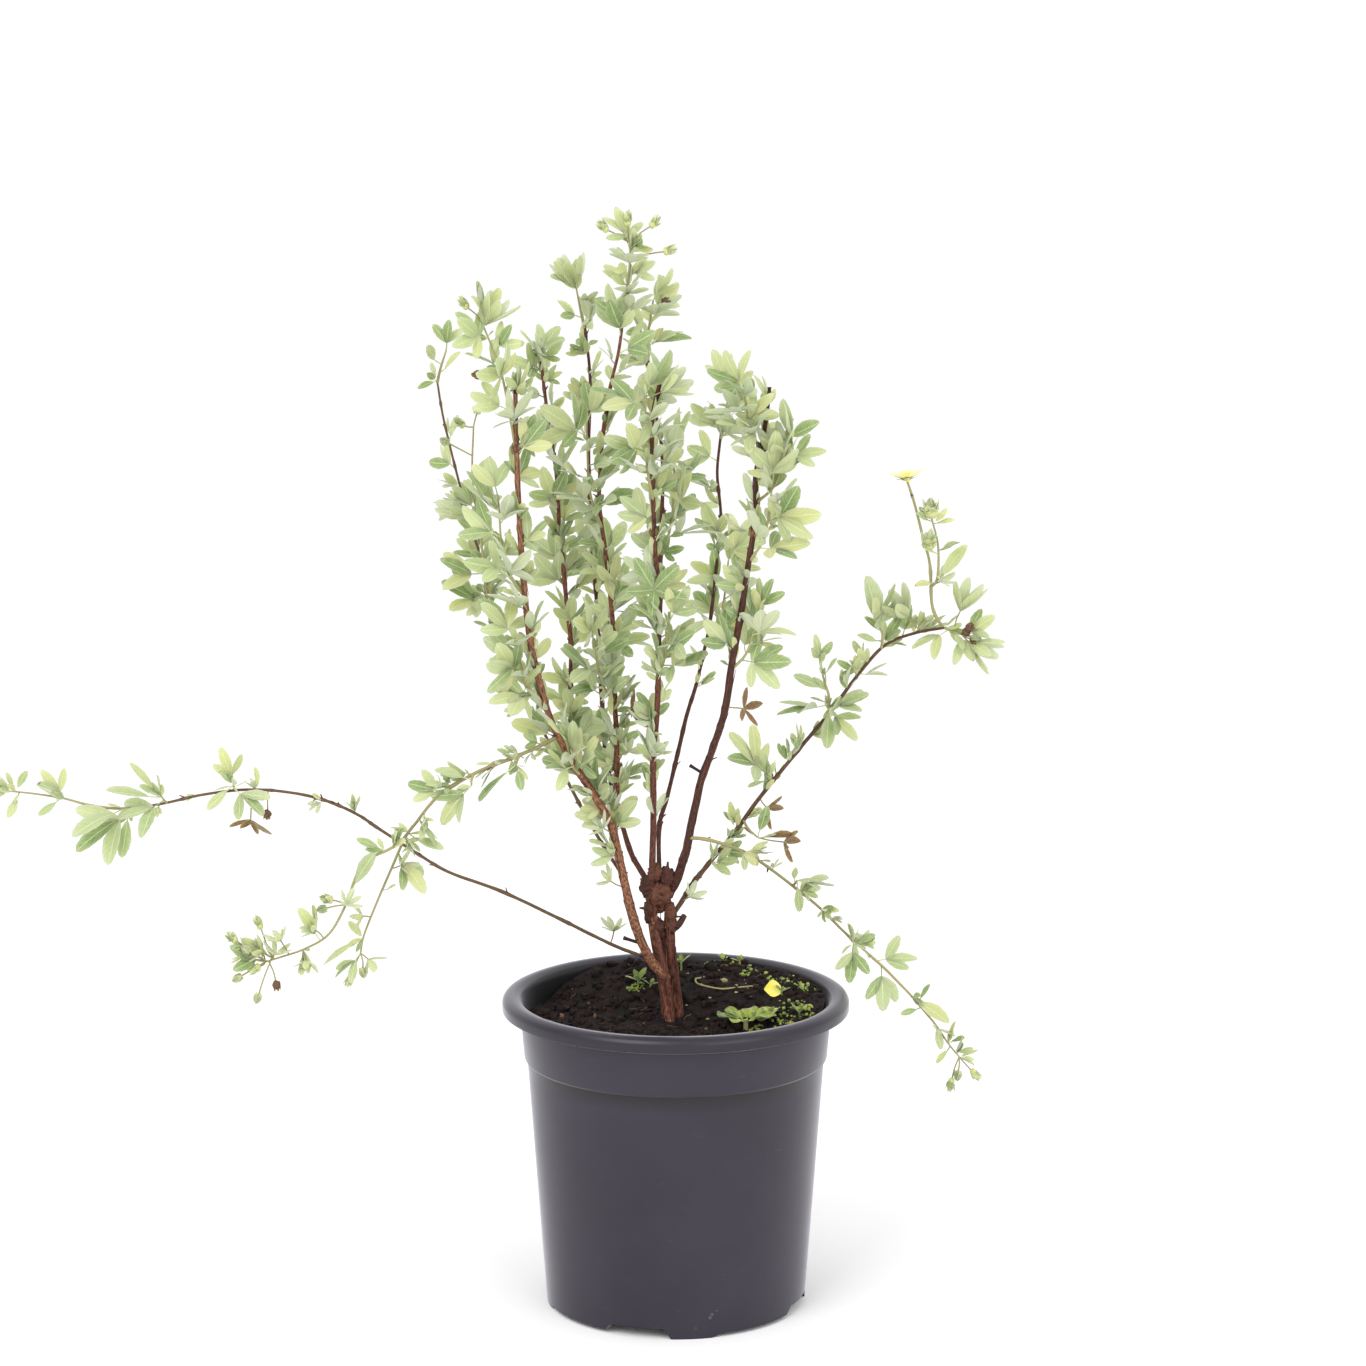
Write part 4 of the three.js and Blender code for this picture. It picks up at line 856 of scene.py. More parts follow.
HAND_SHOOTS = {
    "arching_leaves_inner": HandShoot("arching_left_stem", (
        (-237, -11, 288.5), (-238, -14, 291), (-238, -15, 293),
    ), (
        (1, 104, 5, 21, 3), (1, -137, 15, 20, 1), (0.6, -42, 30, 24, 3),
    )),
    "arching_leaves_middle": HandShoot("arching_left_stem", (
        (-274, -16, 283), (-275, -19, 285), (-276, -20, 287),
    ), (
        (1, 176, 8, 30, 1), (1, 131, 5, 27, 1), (1, 105, 30, 17, 1), (0.5, -148, 12, 27, 3),
    )),
    "arching_tip": HandShoot("arching_left_stem", (
        (-290, -16, 280), (-304, -16, 280), (-318, -15, 282), (-330, -14, 285), (-345, -12, 287),
        (-358, -10, 288),
    ), (
        (0.03, -144, 12, 38, 3), (0.06, -100, 20, 27, 1), (0.1, -163, 40, 34, 1),
        (0.61, 163, 40, 20, 1), (0.59, 122, 10, 20, 3), (0.62, -138, 15, 16, 1),
        (0.97, 118, 10, 13, 1), (1, 172, 5, 14, 3), (0.94, -112, 10, 16, 1),
    )),
    "drooping_leaves_upper": HandShoot("drooping_left_stem", (
        (-83, -38, 313.5), (-84, -40, 311), (-84.5, -41, 309),
    ), (
        (1, -140, 5, 28, 1), (0.5, 150, 20, 14, 1), (1, -75, 25, 15, 1),
    )),
    "drooping_leaves_middle": HandShoot("drooping_left_stem", (
        (-107, -44, 304.5), (-108, -47, 302), (-108, -48, 299),
    ), (
        (1, -134, 8, 25, 3), (0.5, 160, 15, 21, 1),
    )),
    "drooping_tip_left": HandShoot("drooping_left_stem", (
        (-146, -54, 269), (-152, -56, 266), (-166, -58, 258), (-175, -60, 236), (-184, -61, 221),
        (-197, -60, 213), (-210, -58, 208), (-218, -56, 205),
    ), (
        (0.1, 60, 25, 16, 1), (0.16, 152, 15, 17, 1), (0.42, -175, 25, 12, 0),
        (0.38, 62, 5, 26, 1), (0.62, 120, 15, 22, 3), (0.72, -95, 15, 14, 1), (0.9, 150, 0, 20, 1),
        (1, 168, 10, 22, 3), (1, -150, 5, 16, 0), (0.94, -110, 10, 20, 0), (0.98, 140, 30, 14, 0),
    )),
    "drooping_tip_down": HandShoot("drooping_left_stem", (
        (-139, -52, 278), (-144, -48, 270), (-151, -47, 254), (-158, -48, 238), (-166, -49, 218),
        (-168, -49, 208),
    ), (
        (0.12, -30, 15, 22, 1), (0.3, -62, 10, 26, 3), (0.82, -150, 10, 25, 1),
        (1, -128, 15, 20, 3), (1, -82, 10, 9, 0), (0.55, 10, 20, 12, 1),
    )),
    "thin_left_leaves": HandShoot("thin_left_stem", (
        (-103, 40, 382), (-104, 37, 392), (-106, 31, 419), (-110, 26, 453), (-109, 22, 482),
    ), (
        (0.04, 166, 10, 29, 5), (0.2, -125, 35, 18, 1), (0.34, -178, 5, 29, 3),
        (0.36, 12, 15, 18, 3), (0.62, 128, 15, 20, 3), (0.75, 40, 10, 18, 3), (1, 75, 10, 9, 0),
        (0.86, 150, 15, 16, 0),
    )),
    "left_tip": HandShoot("thin_left_stem", (
        (-129, 34, 505), (-127, 33, 513), (-124, 32, 522),
    ), (
        (1, 84, 5, 19, 3), (0.6, 146, 10, 20, 1), (0.3, 40, 15, 18, 1), (0.1, -150, 10, 12, 1),
    )),
    "long_right_leaves_low": HandShoot("long_right_stem", (
        (53, 24, 286), (51, 21, 289), (49, 20, 292),
    ), (
        (1, 136, 8, 31, 5), (0.6, 98, 25, 17, 1), (0.4, -160, 20, 14, 1),
    )),
    "browned_leaves": HandShoot("long_right_stem", (
        (37, 18, 266), (40, 13, 262), (45, 10, 258),
    ), (
        (1, 78, 10, 19, 1, 20), (1, 6, 12, 21, 1, -10), (0.8, 150, 40, 11, 1),
    )),
    "long_right_leaves_middle": HandShoot("long_right_stem", (
        (84, 32, 323), (84, 28, 333), (81, 26, 343), (79, 26, 351),
    ), (
        (0.1, 18, 15, 25, 3), (0.08, -48, 25, 23, 3), (0.2, -166, 15, 30, 3),
        (0.15, -95, 35, 24, 1), (0.45, 150, 10, 20, 1), (1, 100, 5, 18, 3), (0.75, 48, 15, 15, 1),
    )),
    "long_right_leaves_upper": HandShoot("long_right_stem", (
        (113, 38, 358), (113, 33, 363), (113, 30, 368),
    ), (
        (1, 110, 8, 34, 5), (0.5, 172, 20, 15, 1),
    )),
    "long_right_tip": HandShoot("long_right_stem", (
        (147, 30, 371), (152, 27, 369), (156, 25, 368),
    ), (
        (1, 24, 5, 21, 3), (0.6, -60, 15, 20, 3), (0.2, -150, 20, 24, 3), (1, -8, 35, 8, 0),
    )),
    "flower_stalk_shoot": HandShoot("flower_stalk", (
        (138.5, 24, 394), (142, 20, 400), (142, 17, 418), (138, 15, 434),
    ), (
        (0.2, 52, 10, 26, 1), (0.25, -170, 35, 14, 1), (0.62, 20, 8, 11, 1),
        (0.58, 150, 30, 11, 1), (1, 95, 5, 6, 0), (0.92, 12, 15, 12, 1), (0.95, 160, 30, 13, 1),
    )),
    "trailing_leaves_upper": HandShoot("trailing_right_stem", (
        (65, 32, 226), (66, 29, 228), (67, 27, 230),
    ), (
        (1, -84, 8, 17, 1), (1, -6, 15, 22, 3), (0.5, 100, 15, 13, 1),
    )),
    "trailing_leaves_middle": HandShoot("trailing_right_stem", (
        (97, 42, 194), (98, 39, 193), (99, 37, 192),
    ), (
        (1, 110, 10, 13, 1), (1, -97, 12, 22, 3), (0.6, 5, 20, 14, 1),
    )),
    "trailing_tip": HandShoot("trailing_right_stem", (
        (108, 42, 184), (116, 41, 177), (124, 40, 169), (131, 38, 162), (138, 36, 154),
        (145, 33, 146), (152, 30, 136), (158, 28, 129),
    ), (
        (0.07, 14, 10, 22, 3), (0.12, -88, 12, 25, 3), (0.04, 160, 25, 12, 1),
        (0.43, -36, 30, 27, 1), (0.5, 50, 10, 14, 1), (0.55, -160, 10, 13, 1),
        (0.7, -62, 40, 15, 3), (0.85, 20, 10, 12, 1), (0.88, -125, 15, 12, 1), (1, -95, 10, 9, 0),
        (1, -28, 5, 10, 1), (0.96, 60, 20, 9, 1),
    )),
}

RULE_SHOOTS = {
    "outer_left_leaves_low": RuleShoot("outer_left_stem", 5, 27, 0.5, 240, 40, 28),
    "outer_left_leaves_middle": RuleShoot("outer_left_stem", 7, 29, 0.64, 200, 50, 42),
    "outer_left_leaves_upper": RuleShoot("outer_left_stem", 8, 29, 0.8, 170, 60, 56),
    "outer_left_tip": RuleShoot("outer_left_stem", 8, 26,
        points=((-83, -33, 470), (-87, -31, 495), (-92, -28, 518), (-101, -24, 541)), phase=40, start=0.25),
    "second_left_leaves": RuleShoot("second_left_stem", 8, 30, 0.5, 100, 60, 62),
    "second_left_tip": RuleShoot("second_left_stem", 7, 24,
        points=((-73, 36, 510), (-74, 36, 518), (-74, 36, 526)), phase=110, start=0.05),
    "back_left_leaves_low": RuleShoot("back_left_stem", 4, 25, 0.24, 290, 50, 18),
    "back_left_leaves": RuleShoot("back_left_stem", 8, 30, 0.5, 70, 60, 62),
    "back_left_tip": RuleShoot("back_left_stem", 5, 22,
        points=((-50, 61, 532), (-52, 60, 542), (-54, 58, 553)), phase=20, start=0.05),
    "middle_left_leaves_low": RuleShoot("middle_left_stem", 7, 28, 0.33, 230, 50, 42),
    "middle_left_leaves_high": RuleShoot("middle_left_stem", 8, 30, 0.62, 240, 60, 62),
    "middle_left_tip": RuleShoot("middle_left_stem", 7, 21,
        points=((-27, 2, 550), (-25, 1, 562), (-24, 0, 574), (-24, 0, 582)), phase=75, start=0.1),
    "middle_leaves_low": RuleShoot("middle_stem", 6, 28, 0.42, 290, 45, 36),
    "middle_leaves_high": RuleShoot("middle_stem", 8, 30, 0.74, 255, 60, 60),
    "middle_back_leaves": RuleShoot("middle_back_stem", 8, 30, 0.3, 60, 60, 60),
    "middle_back_tip": RuleShoot("middle_back_stem", 6, 26,
        points=((-16, 26, 524), (-14, 25, 537), (-12, 24, 550)), phase=10, start=0.05),
    "slender_leaves": RuleShoot("slender_right_stem", 7, 29, 0.58, 40, 55, 50),
    "slender_tip": RuleShoot("slender_right_stem", 7, 26,
        points=((25, 72, 470), (27, 71, 482), (29, 70, 494)), phase=60, start=0.05),
    "right_leaves_low": RuleShoot("right_stem", 6, 27, 0.53, 340, 50, 36),
    "right_leaves_middle": RuleShoot("right_stem", 7, 29, 0.68, 320, 55, 48),
    "right_leaves_high": RuleShoot("right_stem", 7, 27, 0.8, 350, 45, 36),
    "right_tip": RuleShoot("right_stem", 7, 26,
        points=((45, -46.5, 476), (40, -50, 487), (37, -52, 498), (36, -52, 508)), phase=30, start=0.3),
}


@dataclass(frozen=True)
class SpurZone:
    """The part of a stem that carries small leaves of its own, their spacing and their reach."""

    stem: str
    start: float
    end: float
    spacing: float
    reach: float


SPUR_ZONES = (
    SpurZone("outer_left_stem", 0.3, 1.0, 8.0, 23),
    SpurZone("second_left_stem", 0.14, 1.0, 6.8, 23),
    SpurZone("back_left_stem", 0.2, 1.0, 8.4, 23),
    SpurZone("middle_left_stem", 0.08, 1.0, 8.0, 23),
    SpurZone("middle_stem", 0.1, 1.0, 9.4, 21),
    SpurZone("middle_back_stem", 0.0, 1.0, 9.0, 23),
    SpurZone("slender_right_stem", 0.45, 1.0, 12.0, 22),
    SpurZone("right_stem", 0.5, 1.0, 11.0, 22),
    SpurZone("thin_left_stem", 0.3, 0.9, 8.0, 18),
    SpurZone("long_right_stem", 0.25, 1.0, 7.0, 17),
    SpurZone("trailing_right_stem", 0.3, 1.0, 11.0, 14),
    SpurZone("arching_left_stem", 0.6, 0.95, 20.0, 12),
    SpurZone("drooping_left_stem", 0.1, 1.0, 7.5, 17),
)

LEAFLETS = {
    1: ((0, 1.0),),
    3: ((-40, 0.88), (0, 1.0), (40, 0.88)),
    5: ((-80, 0.7), (-39, 0.9), (0, 1.0), (39, 0.9), (80, 0.7)),
}


class Growth:
    """Shares out the room between stems and leaves by the frame's own rules."""

    STALK_SHARE = 0.24
    LEAF_RADIUS = 3.1
    LEAF_PLACES = (0.4, 0.68, 0.94)
    BUD_RADIUS = 3.6
    SPUR_RADIUS = 0.6
    STEM_MARGIN = 1.0
    STEM_STEPS = 5
    TRIES = 24
    TURN = 25.0
    GOLDEN_ANGLE = 137.5
    OPEN, OPEN_LAST, OPEN_STEP = 58.0, 22.0, 5.0
    SHORTER = 0.12
    ROLL = 25.0
    FOOT_SHARE = 0.4
    BEND = 25.0
    TWIG_RADII = (0.95, 0.7)
    SPUR_TRIES, SPUR_TURN = 10, 40
    SPUR_SPREAD, SPUR_ROLL = (20, 64), (-85, 85)
    SPUR_LENGTHS = (0.6, 1.15)
    SPUR_LEAFLETS = (3, 3, 5)
    MOST_FORWARD = 0.5

    def __init__(self) -> None:
        """Starts with an empty room."""
        self.centres = np.empty((0, 3))
        self.radii = np.empty(0)

    def take(self, centres: Sequence[Array], radii: Sequence[float]) -> None:
        """Marks the room of some balls as taken."""
        self.centres = np.vstack((self.centres, np.array(centres)))
        self.radii = np.concatenate((self.radii, np.array(radii)))

    def take_stem(self, points: Sequence[Point], radii: tuple[float, float]) -> None:
        """Marks the room that a stem takes."""
        line = Line(points)
        steps = len(points) * self.STEM_STEPS
        shares = [i / steps for i in range(steps + 1)]
        self.take([line.at(share) for share in shares],
                  [radii[0] + (radii[1] - radii[0]) * share + self.STEM_MARGIN for share in shares])

    def leaf_balls(self, leaf: LeafPose) -> tuple[list[Array], list[float]]:
        """The balls that cover a leaf's leaflets, as centres and radii."""
        across, along, _ = leaf.axes()
        if leaf.count == 0:
            return [leaf.base + along * leaf.reach], [self.BUD_RADIUS]
        stalk = leaf.reach * self.STALK_SHARE
        centres = []
        for angle, share in LEAFLETS[leaf.count]:
            turn = radians(angle)
            length = (leaf.reach - stalk) * share
            for part in self.LEAF_PLACES:
                forward = along * (stalk + length * part * cos(turn))
                centres.append(leaf.base + forward + across * (length * part * sin(turn)))
        return centres, [self.LEAF_RADIUS] * len(centres)

    def is_clear(self, centres: Sequence[Array], radii: Sequence[float]) -> bool:
        """Says whether balls keep clear of everything placed so far."""
        gaps = np.linalg.norm(np.array(centres)[:, None, :] - self.centres[None, :, :], axis=2)
        return bool((gaps > np.array(radii)[:, None] + self.radii[None, :]).all())

    @staticmethod
    def facing(direction: Array, roll: float) -> Array:
        """The way a blade faces: to the sky, square to its stalk and turned about it."""
        return turned(unit(SKY - direction * np.dot(SKY, direction)), direction, roll)

    def by_hand(self, line: Line, leaf: tuple[float, ...]) -> LeafPose:
        """A leaf from its row in a table."""
        along, angle, lean, reach, count, roll = (*leaf, 0.0)[:6]
        flat = cos(radians(lean))
        direction = np.array((cos(radians(angle)) * flat, -sin(radians(lean)),
                              sin(radians(angle)) * flat))
        return LeafPose(line.at(along), direction, self.facing(direction, roll), reach, int(count))

    def by_rule(self, line: Line, shoot: RuleShoot) -> list[LeafPose]:
        """Leaves round a shoot at the golden angle, each turned on until it has room."""
        grown = []
        for i in range(shoot.leaves):
            along = shoot.start + (1 - shoot.start) * i / max(1, shoot.leaves - 1)
            tangent = line.tangent(along)
            side, out = line.axes(along)
            spread = self.OPEN_LAST if i == shoot.leaves - 1 else self.OPEN
            for tried in range(self.TRIES):
                turn = radians(shoot.phase + i * self.GOLDEN_ANGLE + tried * self.TURN)
                wide = radians(spread + self.OPEN_STEP * (tried % 3))
                direction = unit(around(tangent, around(side, out, turn), wide))
                face = self.facing(direction, self.ROLL * ((i + tried) % 3 - 1))
                reach = shoot.reach * (1 - self.SHORTER * (i % 3))
                leaf = LeafPose(line.at(along), direction, face, reach, 3 if i % 3 else 5)
                balls = self.leaf_balls(leaf)
                if self.is_clear(*balls):
                    self.take(*balls)
                    grown.append(leaf)
                    break
        return grown

    def side_points(self, shoot: RuleShoot) -> list[Array]:
        """The points of a side shoot: straight out, then bent upwards."""
        start = Line(STEMS[shoot.parent].points).at(shoot.at)
        elbow = start + heading(shoot.azimuth, shoot.rise) * shoot.length * self.FOOT_SHARE
        upper = heading(shoot.azimuth, shoot.rise + self.BEND) * shoot.length * (1 - self.FOOT_SHARE)
        return [start, elbow, elbow + upper]

    def spurs(self, zone: SpurZone) -> list[LeafPose]:
        """The small leaves that spring straight from a stem, wherever they have room."""
        rng = random.Random(zone.stem)
        line = Line(STEMS[zone.stem].points)
        count = int(line.length() * (zone.end - zone.start) / zone.spacing)
        grown = []
        for i in range(count):
            along = zone.start + (zone.end - zone.start) * (i + rng.random()) / count
            tangent = line.tangent(along)
            side, out = line.axes(along)
            for tried in range(self.SPUR_TRIES):
                turn = radians(i * self.GOLDEN_ANGLE + tried * self.SPUR_TURN)
                wide = radians(rng.uniform(*self.SPUR_SPREAD))
                direction = unit(around(tangent, around(side, out, turn), wide))
                if np.dot(direction, FRONT) > self.MOST_FORWARD:
                    continue
                face = self.facing(direction, rng.uniform(*self.SPUR_ROLL))
                reach = zone.reach * rng.uniform(*self.SPUR_LENGTHS)
                leaflets = rng.choice(self.SPUR_LEAFLETS)
                leaf = LeafPose(line.at(along), direction, face, reach, leaflets)
                centres = self.leaf_balls(leaf)[0]
                radii = [self.SPUR_RADIUS] * len(centres)
                if self.is_clear(centres, radii):
                    self.take(centres, radii)
                    grown.append(leaf)
                    break
        return grown

    def grow(self) -> dict[str, tuple[Line, list[LeafPose]]]:
        """Grows the plant: the stems, the shoots whose leaves are listed, then those that fill the room.

        Returns:
            The line and the leaves of every shoot, by its name.
        """
        for stem in STEMS.values():
            self.take_stem(stem.points, stem.radii)
        grown = {}
        for name, shoot in HAND_SHOOTS.items():
            line = Line(shoot.points)
            leaves = [self.by_hand(line, leaf) for leaf in shoot.leaves]
            self.take_stem(shoot.points, self.TWIG_RADII)
            for leaf in leaves:
                self.take(*self.leaf_balls(leaf))
            grown[name] = (line, leaves)
        for name, shoot in RULE_SHOOTS.items():
            line = Line(shoot.points or self.side_points(shoot))
            grown[name] = (line, self.by_rule(line, shoot))
        return grown


@dataclass(frozen=True)
class PotSizes:
    """The pot's sizes, in millimetres and degrees.

    The band's flare is given as pairs, out from its foot and down from the rim. The wall's rings
    are heights.
    """

    height: float = 173.0
    rim_radius: float = 95.0
    foot_radius: float = 71.5
    foot_ring: float = 3.0
    wall: float = 1.6
    step_height: float = 137.5
    step_radius: float = 81.4
    step_ledge: float = 1.0
    band_radius: float = 83.0
    floor_height: float = 6.0
    floor_thickness: float = 2.0
    floor_fillet: float = 3.0
    pad_radius: float = 20.0
    pad_slope: float = 6.0
    steps: int = 180
    notch_first: float = -17.0
    notch_width: float = 27.0
    notch_height: float = 6.0
    recess_first: float = 40.0
    recess_width: float = 44.0
    recess_height: float = 2.0
    hole_radius: float = 4.5
    hole_circle: float = 46.0
    foot_blend: float = 1.5
    rounding: float = 0.5
    rounded_from: float = 100.0
    band_slope: float = 0.088
    band_flare: tuple[tuple[float, float], ...] = ((1.9, 12.0), (2.2, 9.0))
    wall_rings: tuple[float, ...] = (2, 4, 6, 8, 30, 55, 80, 105, 128)


# The lip's section as pairs: in from the rim and down from it.
LIP_SECTION = (
    (9.4, 4.5), (7.6, 2.4), (3.2, 2.6), (1.8, 4.4), (1.8, 8), (0, 8), (0, 3), (1.2, 1), (3.6, 0),
    (7, 0), (9.8, 1.4), (11, 5),
)


def spun(mesh: bmesh.types.BMesh, profile: Sequence[tuple[float, float]],
         steps: int) -> list[bmesh.types.BMVert]:
    """Spins a profile of radius and height pairs once round Z.

    Args:
        mesh: The mesh that it is made in.
        profile: The pairs, in order.
        steps: Faces round it.

    Returns:
        The vertices of the spun body.
    """
    points = [mesh.verts.new((radius, 0.0, height)) for radius, height in profile]
    edges = [mesh.edges.new(pair) for pair in zip(points, points[1:])]
    before = set(mesh.verts) - set(points)
    bmesh.ops.spin(mesh, geom=points + edges, cent=(0, 0, 0), axis=(0, 0, 1), steps=steps,
                   angle=2 * pi, use_merge=True)
    made = [vert for vert in mesh.verts if vert not in before]
    bmesh.ops.remove_doubles(mesh, verts=made, dist=0.001)
    return [vert for vert in mesh.verts if vert not in before]


@dataclass(frozen=True)
class NurseryPot:
    """The round nursery pot with its rolled lip, step and drained foot."""

    HARD_EDGE = 0.5
    CUT_APART = 1.02
    LIP_DEPTH = 10.0

    sizes: PotSizes = PotSizes()

    def profile(self) -> list[tuple[float, float]]:
        """The pot's section, from the middle underneath, over the lip, to the middle inside."""
        s = self.sizes
        inner_floor = s.floor_height + s.floor_thickness
        inner_foot = s.foot_radius - s.wall
        return [
            (0, 0),
            (s.pad_radius, 0),
            (s.pad_radius + s.pad_slope, s.floor_height),
            (s.foot_radius - 2 * s.foot_ring, s.floor_height),
            (s.foot_radius - s.foot_ring, 0),
            (s.foot_radius, 0),
            *((s.foot_radius + (s.step_radius - s.foot_radius) * z / s.step_height, z)
              for z in s.wall_rings),
            (s.step_radius, s.step_height),
            (s.band_radius, s.step_height + s.step_ledge),
            *((s.band_radius + outwards, s.height - down) for outwards, down in s.band_flare),
            *((s.rim_radius - inwards, s.height - down) for inwards, down in LIP_SECTION),
            (s.band_radius - s.wall, s.step_height + 2 * s.step_ledge),
            (s.step_radius - s.wall, s.step_height - s.step_ledge),
            (inner_foot, inner_floor + s.floor_fillet),
            (inner_foot - s.floor_fillet, inner_floor),
            (s.hole_circle + s.hole_radius, inner_floor),
            (s.hole_circle - s.hole_radius, inner_floor),
            (s.pad_radius + s.pad_slope + s.step_ledge, inner_floor),
            (s.pad_radius + s.step_ledge, s.floor_thickness),
            (0, s.floor_thickness),
        ]

    def foot_lift(self, place: Vector) -> float:
        """How high the foot ring is cut away at a place round it."""
        s = self.sizes
        angle = degrees(atan2(place.y, place.x)) + 90
        for first, width, height in (
            (s.notch_first, s.notch_width, s.notch_height),
            (s.recess_first, s.recess_width, s.recess_height),
        ):
            for i in range(4):
                away = abs((angle - first - 90 * i + 180) % 360 - 180)
                near, far = width / 2 - s.foot_blend, width / 2 + s.foot_blend
                if away < far:
                    return height * (1 - eased(away, near, far))
        return 0.0

    def shadow(self, reach: float, height: float) -> Tint:
        """The painted shade on the plastic at a distance from the axis and a height: darkest inside the
        pot, nearly as dark under the lip, and half as dark on the lip's outer face.
        """
        s = self.sizes
        wall = s.band_radius - s.wall / 2 + (height - s.step_height) * s.band_slope
        if height > s.step_height - 3 and reach < wall:
            return Tint(1.0)
        if s.height - self.LIP_DEPTH < height < s.height - 1.5 and reach < s.rim_radius - 1:
            return Tint(0.9)
        if s.height - self.LIP_DEPTH < height < s.height - 2:
            return Tint(0.45)
        return Tint()

    def build(self) -> Piece:
        """Spins the pot, cuts its foot, rounds its hard corners and paints shade inside and under the lip.
        """
        s = self.sizes
        piece = Piece("nursery_pot")
        for vert in spun(piece.mesh, self.profile(), s.steps):
            outer = hypot(vert.co.x, vert.co.y) > s.foot_radius - s.foot_ring - 0.5
            if outer and vert.co.z < s.notch_height:
                lift = self.foot_lift(vert.co)
                vert.co.z = max(vert.co.z, lift * (1 if vert.co.z < 0.1 else self.CUT_APART))
        hard = [edge for edge in piece.mesh.edges
                if len(edge.link_faces) == 2 and edge.calc_face_angle(0) > self.HARD_EDGE
                and edge.verts[0].co.z > s.rounded_from]
        bmesh.ops.bevel(piece.mesh, geom=hard, affect="EDGES", offset=s.rounding, segments=2,
                        profile=0.5, material=-1, clamp_overlap=True)
        piece.dress(list(piece.mesh.verts), PotPlastic(), Tint())
        # Painted shade: the tint darkens the inside of the pot and the plastic under and round the lip.
        for vert in piece.mesh.verts:
            vert[piece.tint] = self.shadow(hypot(vert.co.x, vert.co.y), vert.co.z).colour()
        return piece

    def dress(self) -> bpy.types.Object:
        """The finished pot."""
        return self.build().finish("pot_plastic", "pot", crease=35)


@dataclass(frozen=True)
class SoilSizes:
    """The soil's sizes, in millimetres, and how much lies on it.

    Its hills and lumps are given as a width and a height, its crumbs as a least size and how
    much larger they come.
    """

    level: float = 158.0
    heap: float = 13.0
    heap_towards: tuple[float, float] = (0.55, 0.83)
    heap_from: float = -12.0
    heap_to: float = 36.0
    radius: float = 82.4
    gap: float = 0.5
    rings: int = 33
    ring_step: float = 0.03
    hills: tuple[float, float] = (24.0, 1.8)
    lumps: tuple[float, float] = (6.0, 1.2)
    crumbs: int = 1500
    crumb: tuple[float, float] = (0.7, 2.4)
    fibres: int = 70
    fibre_radius: float = 0.25


@dataclass(frozen=True)
class PottingSoil:
    """The peat in the pot, with its crumbs and fibres."""

    sizes: SoilSizes = SoilSizes()
    pot: PotSizes = PotSizes()

    def height(self, x: float, y: float) -> float:
        """The soil's mean height at a place in the pot."""
        s = self.sizes
        along = s.heap_towards[0] * x + s.heap_towards[1] * y
        return s.level + s.heap * eased(along, s.heap_from, s.heap_to)

    def rough_height(self, x: float, y: float) -> float:
        """The soil's height with its hills and lumps."""
        rough = self.height(x, y)
        for (width, height), seed in ((self.sizes.hills, 3.0), (self.sizes.lumps, 9.0)):
            rough += noise.noise(Vector((x / width, y / width, seed))) * height
        return rough

    def build(self) -> Piece:
        """Spins the soil, roughens its top and scatters what lies on it."""
        s, p = self.sizes, self.pot
        piece = Piece("potting_soil")
        floor = p.floor_height + p.floor_thickness + s.gap
        shares = (1.0, 0.985, *(1 - s.ring_step * k for k in range(1, s.rings)), 0.0)
        body = spun(piece.mesh, [
            (0, floor),
            (p.foot_radius - p.wall - s.gap, floor),
            (p.step_radius - p.wall - s.gap, p.step_height - p.step_ledge),
            (p.band_radius - p.wall - s.gap, p.step_height + 2 * p.step_ledge),
            *((s.radius * share, p.height) for share in shares),
        ], p.steps)
        for vert in body:
            if vert.co.z > p.height - s.gap:
                fine = noise.noise(vert.co * 0.9) * 0.7
                vert.co.z = self.rough_height(vert.co.x, vert.co.y) + fine
        piece.dress(body, Peat(), Tint())
        rng = random.Random("crumbs")
        for _ in range(s.crumbs):
            self.crumb(piece, rng)
        for _ in range(s.fibres):
            self.fibre(piece, rng)
        return piece

    def crumb(self, piece: Piece, rng: random.Random) -> None:
        """One loose crumb, now and then a pale one."""
        least, more = self.sizes.crumb
        size = least + more * rng.random() ** 3
        x, y = scattered(rng, self.sizes.radius - size - self.sizes.gap)
        centre = (x, y, self.rough_height(x, y) + size * 0.25)
        half = [size * rng.uniform(0.6, 1.2) for _ in range(3)]
        tint = Tint(0.7 if rng.random() < 0.02 else 0.0, rng.random() ** 2, rng.random())
        piece.lump(centre, half, 0.5, Peat(), tint)

    def fibre(self, piece: Piece, rng: random.Random) -> None:
        """One short fibre that lies on the soil."""
        x, y = scattered(rng, self.sizes.radius - 8)
        step = turned(np.array((rng.uniform(2, 7), 0, 0)), UP, rng.uniform(0, 360))
        points = []
        for k in range(4):
            px, py = x + step[0] * k / 2, y + step[1] * k / 2 + rng.uniform(-0.8, 0.8)
            points.append((px, py, self.rough_height(px, py) + 0.5 + rng.uniform(0, 0.8)))
        piece.tube(Line(points), tapered(self.sizes.fibre_radius, 0.1), 4, 6, Peat(),
                   Tint(rng.random() ** 2 * 0.8, 0.5, rng.random()))

    def dress(self) -> bpy.types.Object:
        """The finished soil."""
        return self.build().finish("soil", "soil", crease=60)


@dataclass(frozen=True)
class Strand:
    """One strand of the old trunk, between its foot and its top."""

    foot: Point
    top: Point
    radius: float
    twist: float


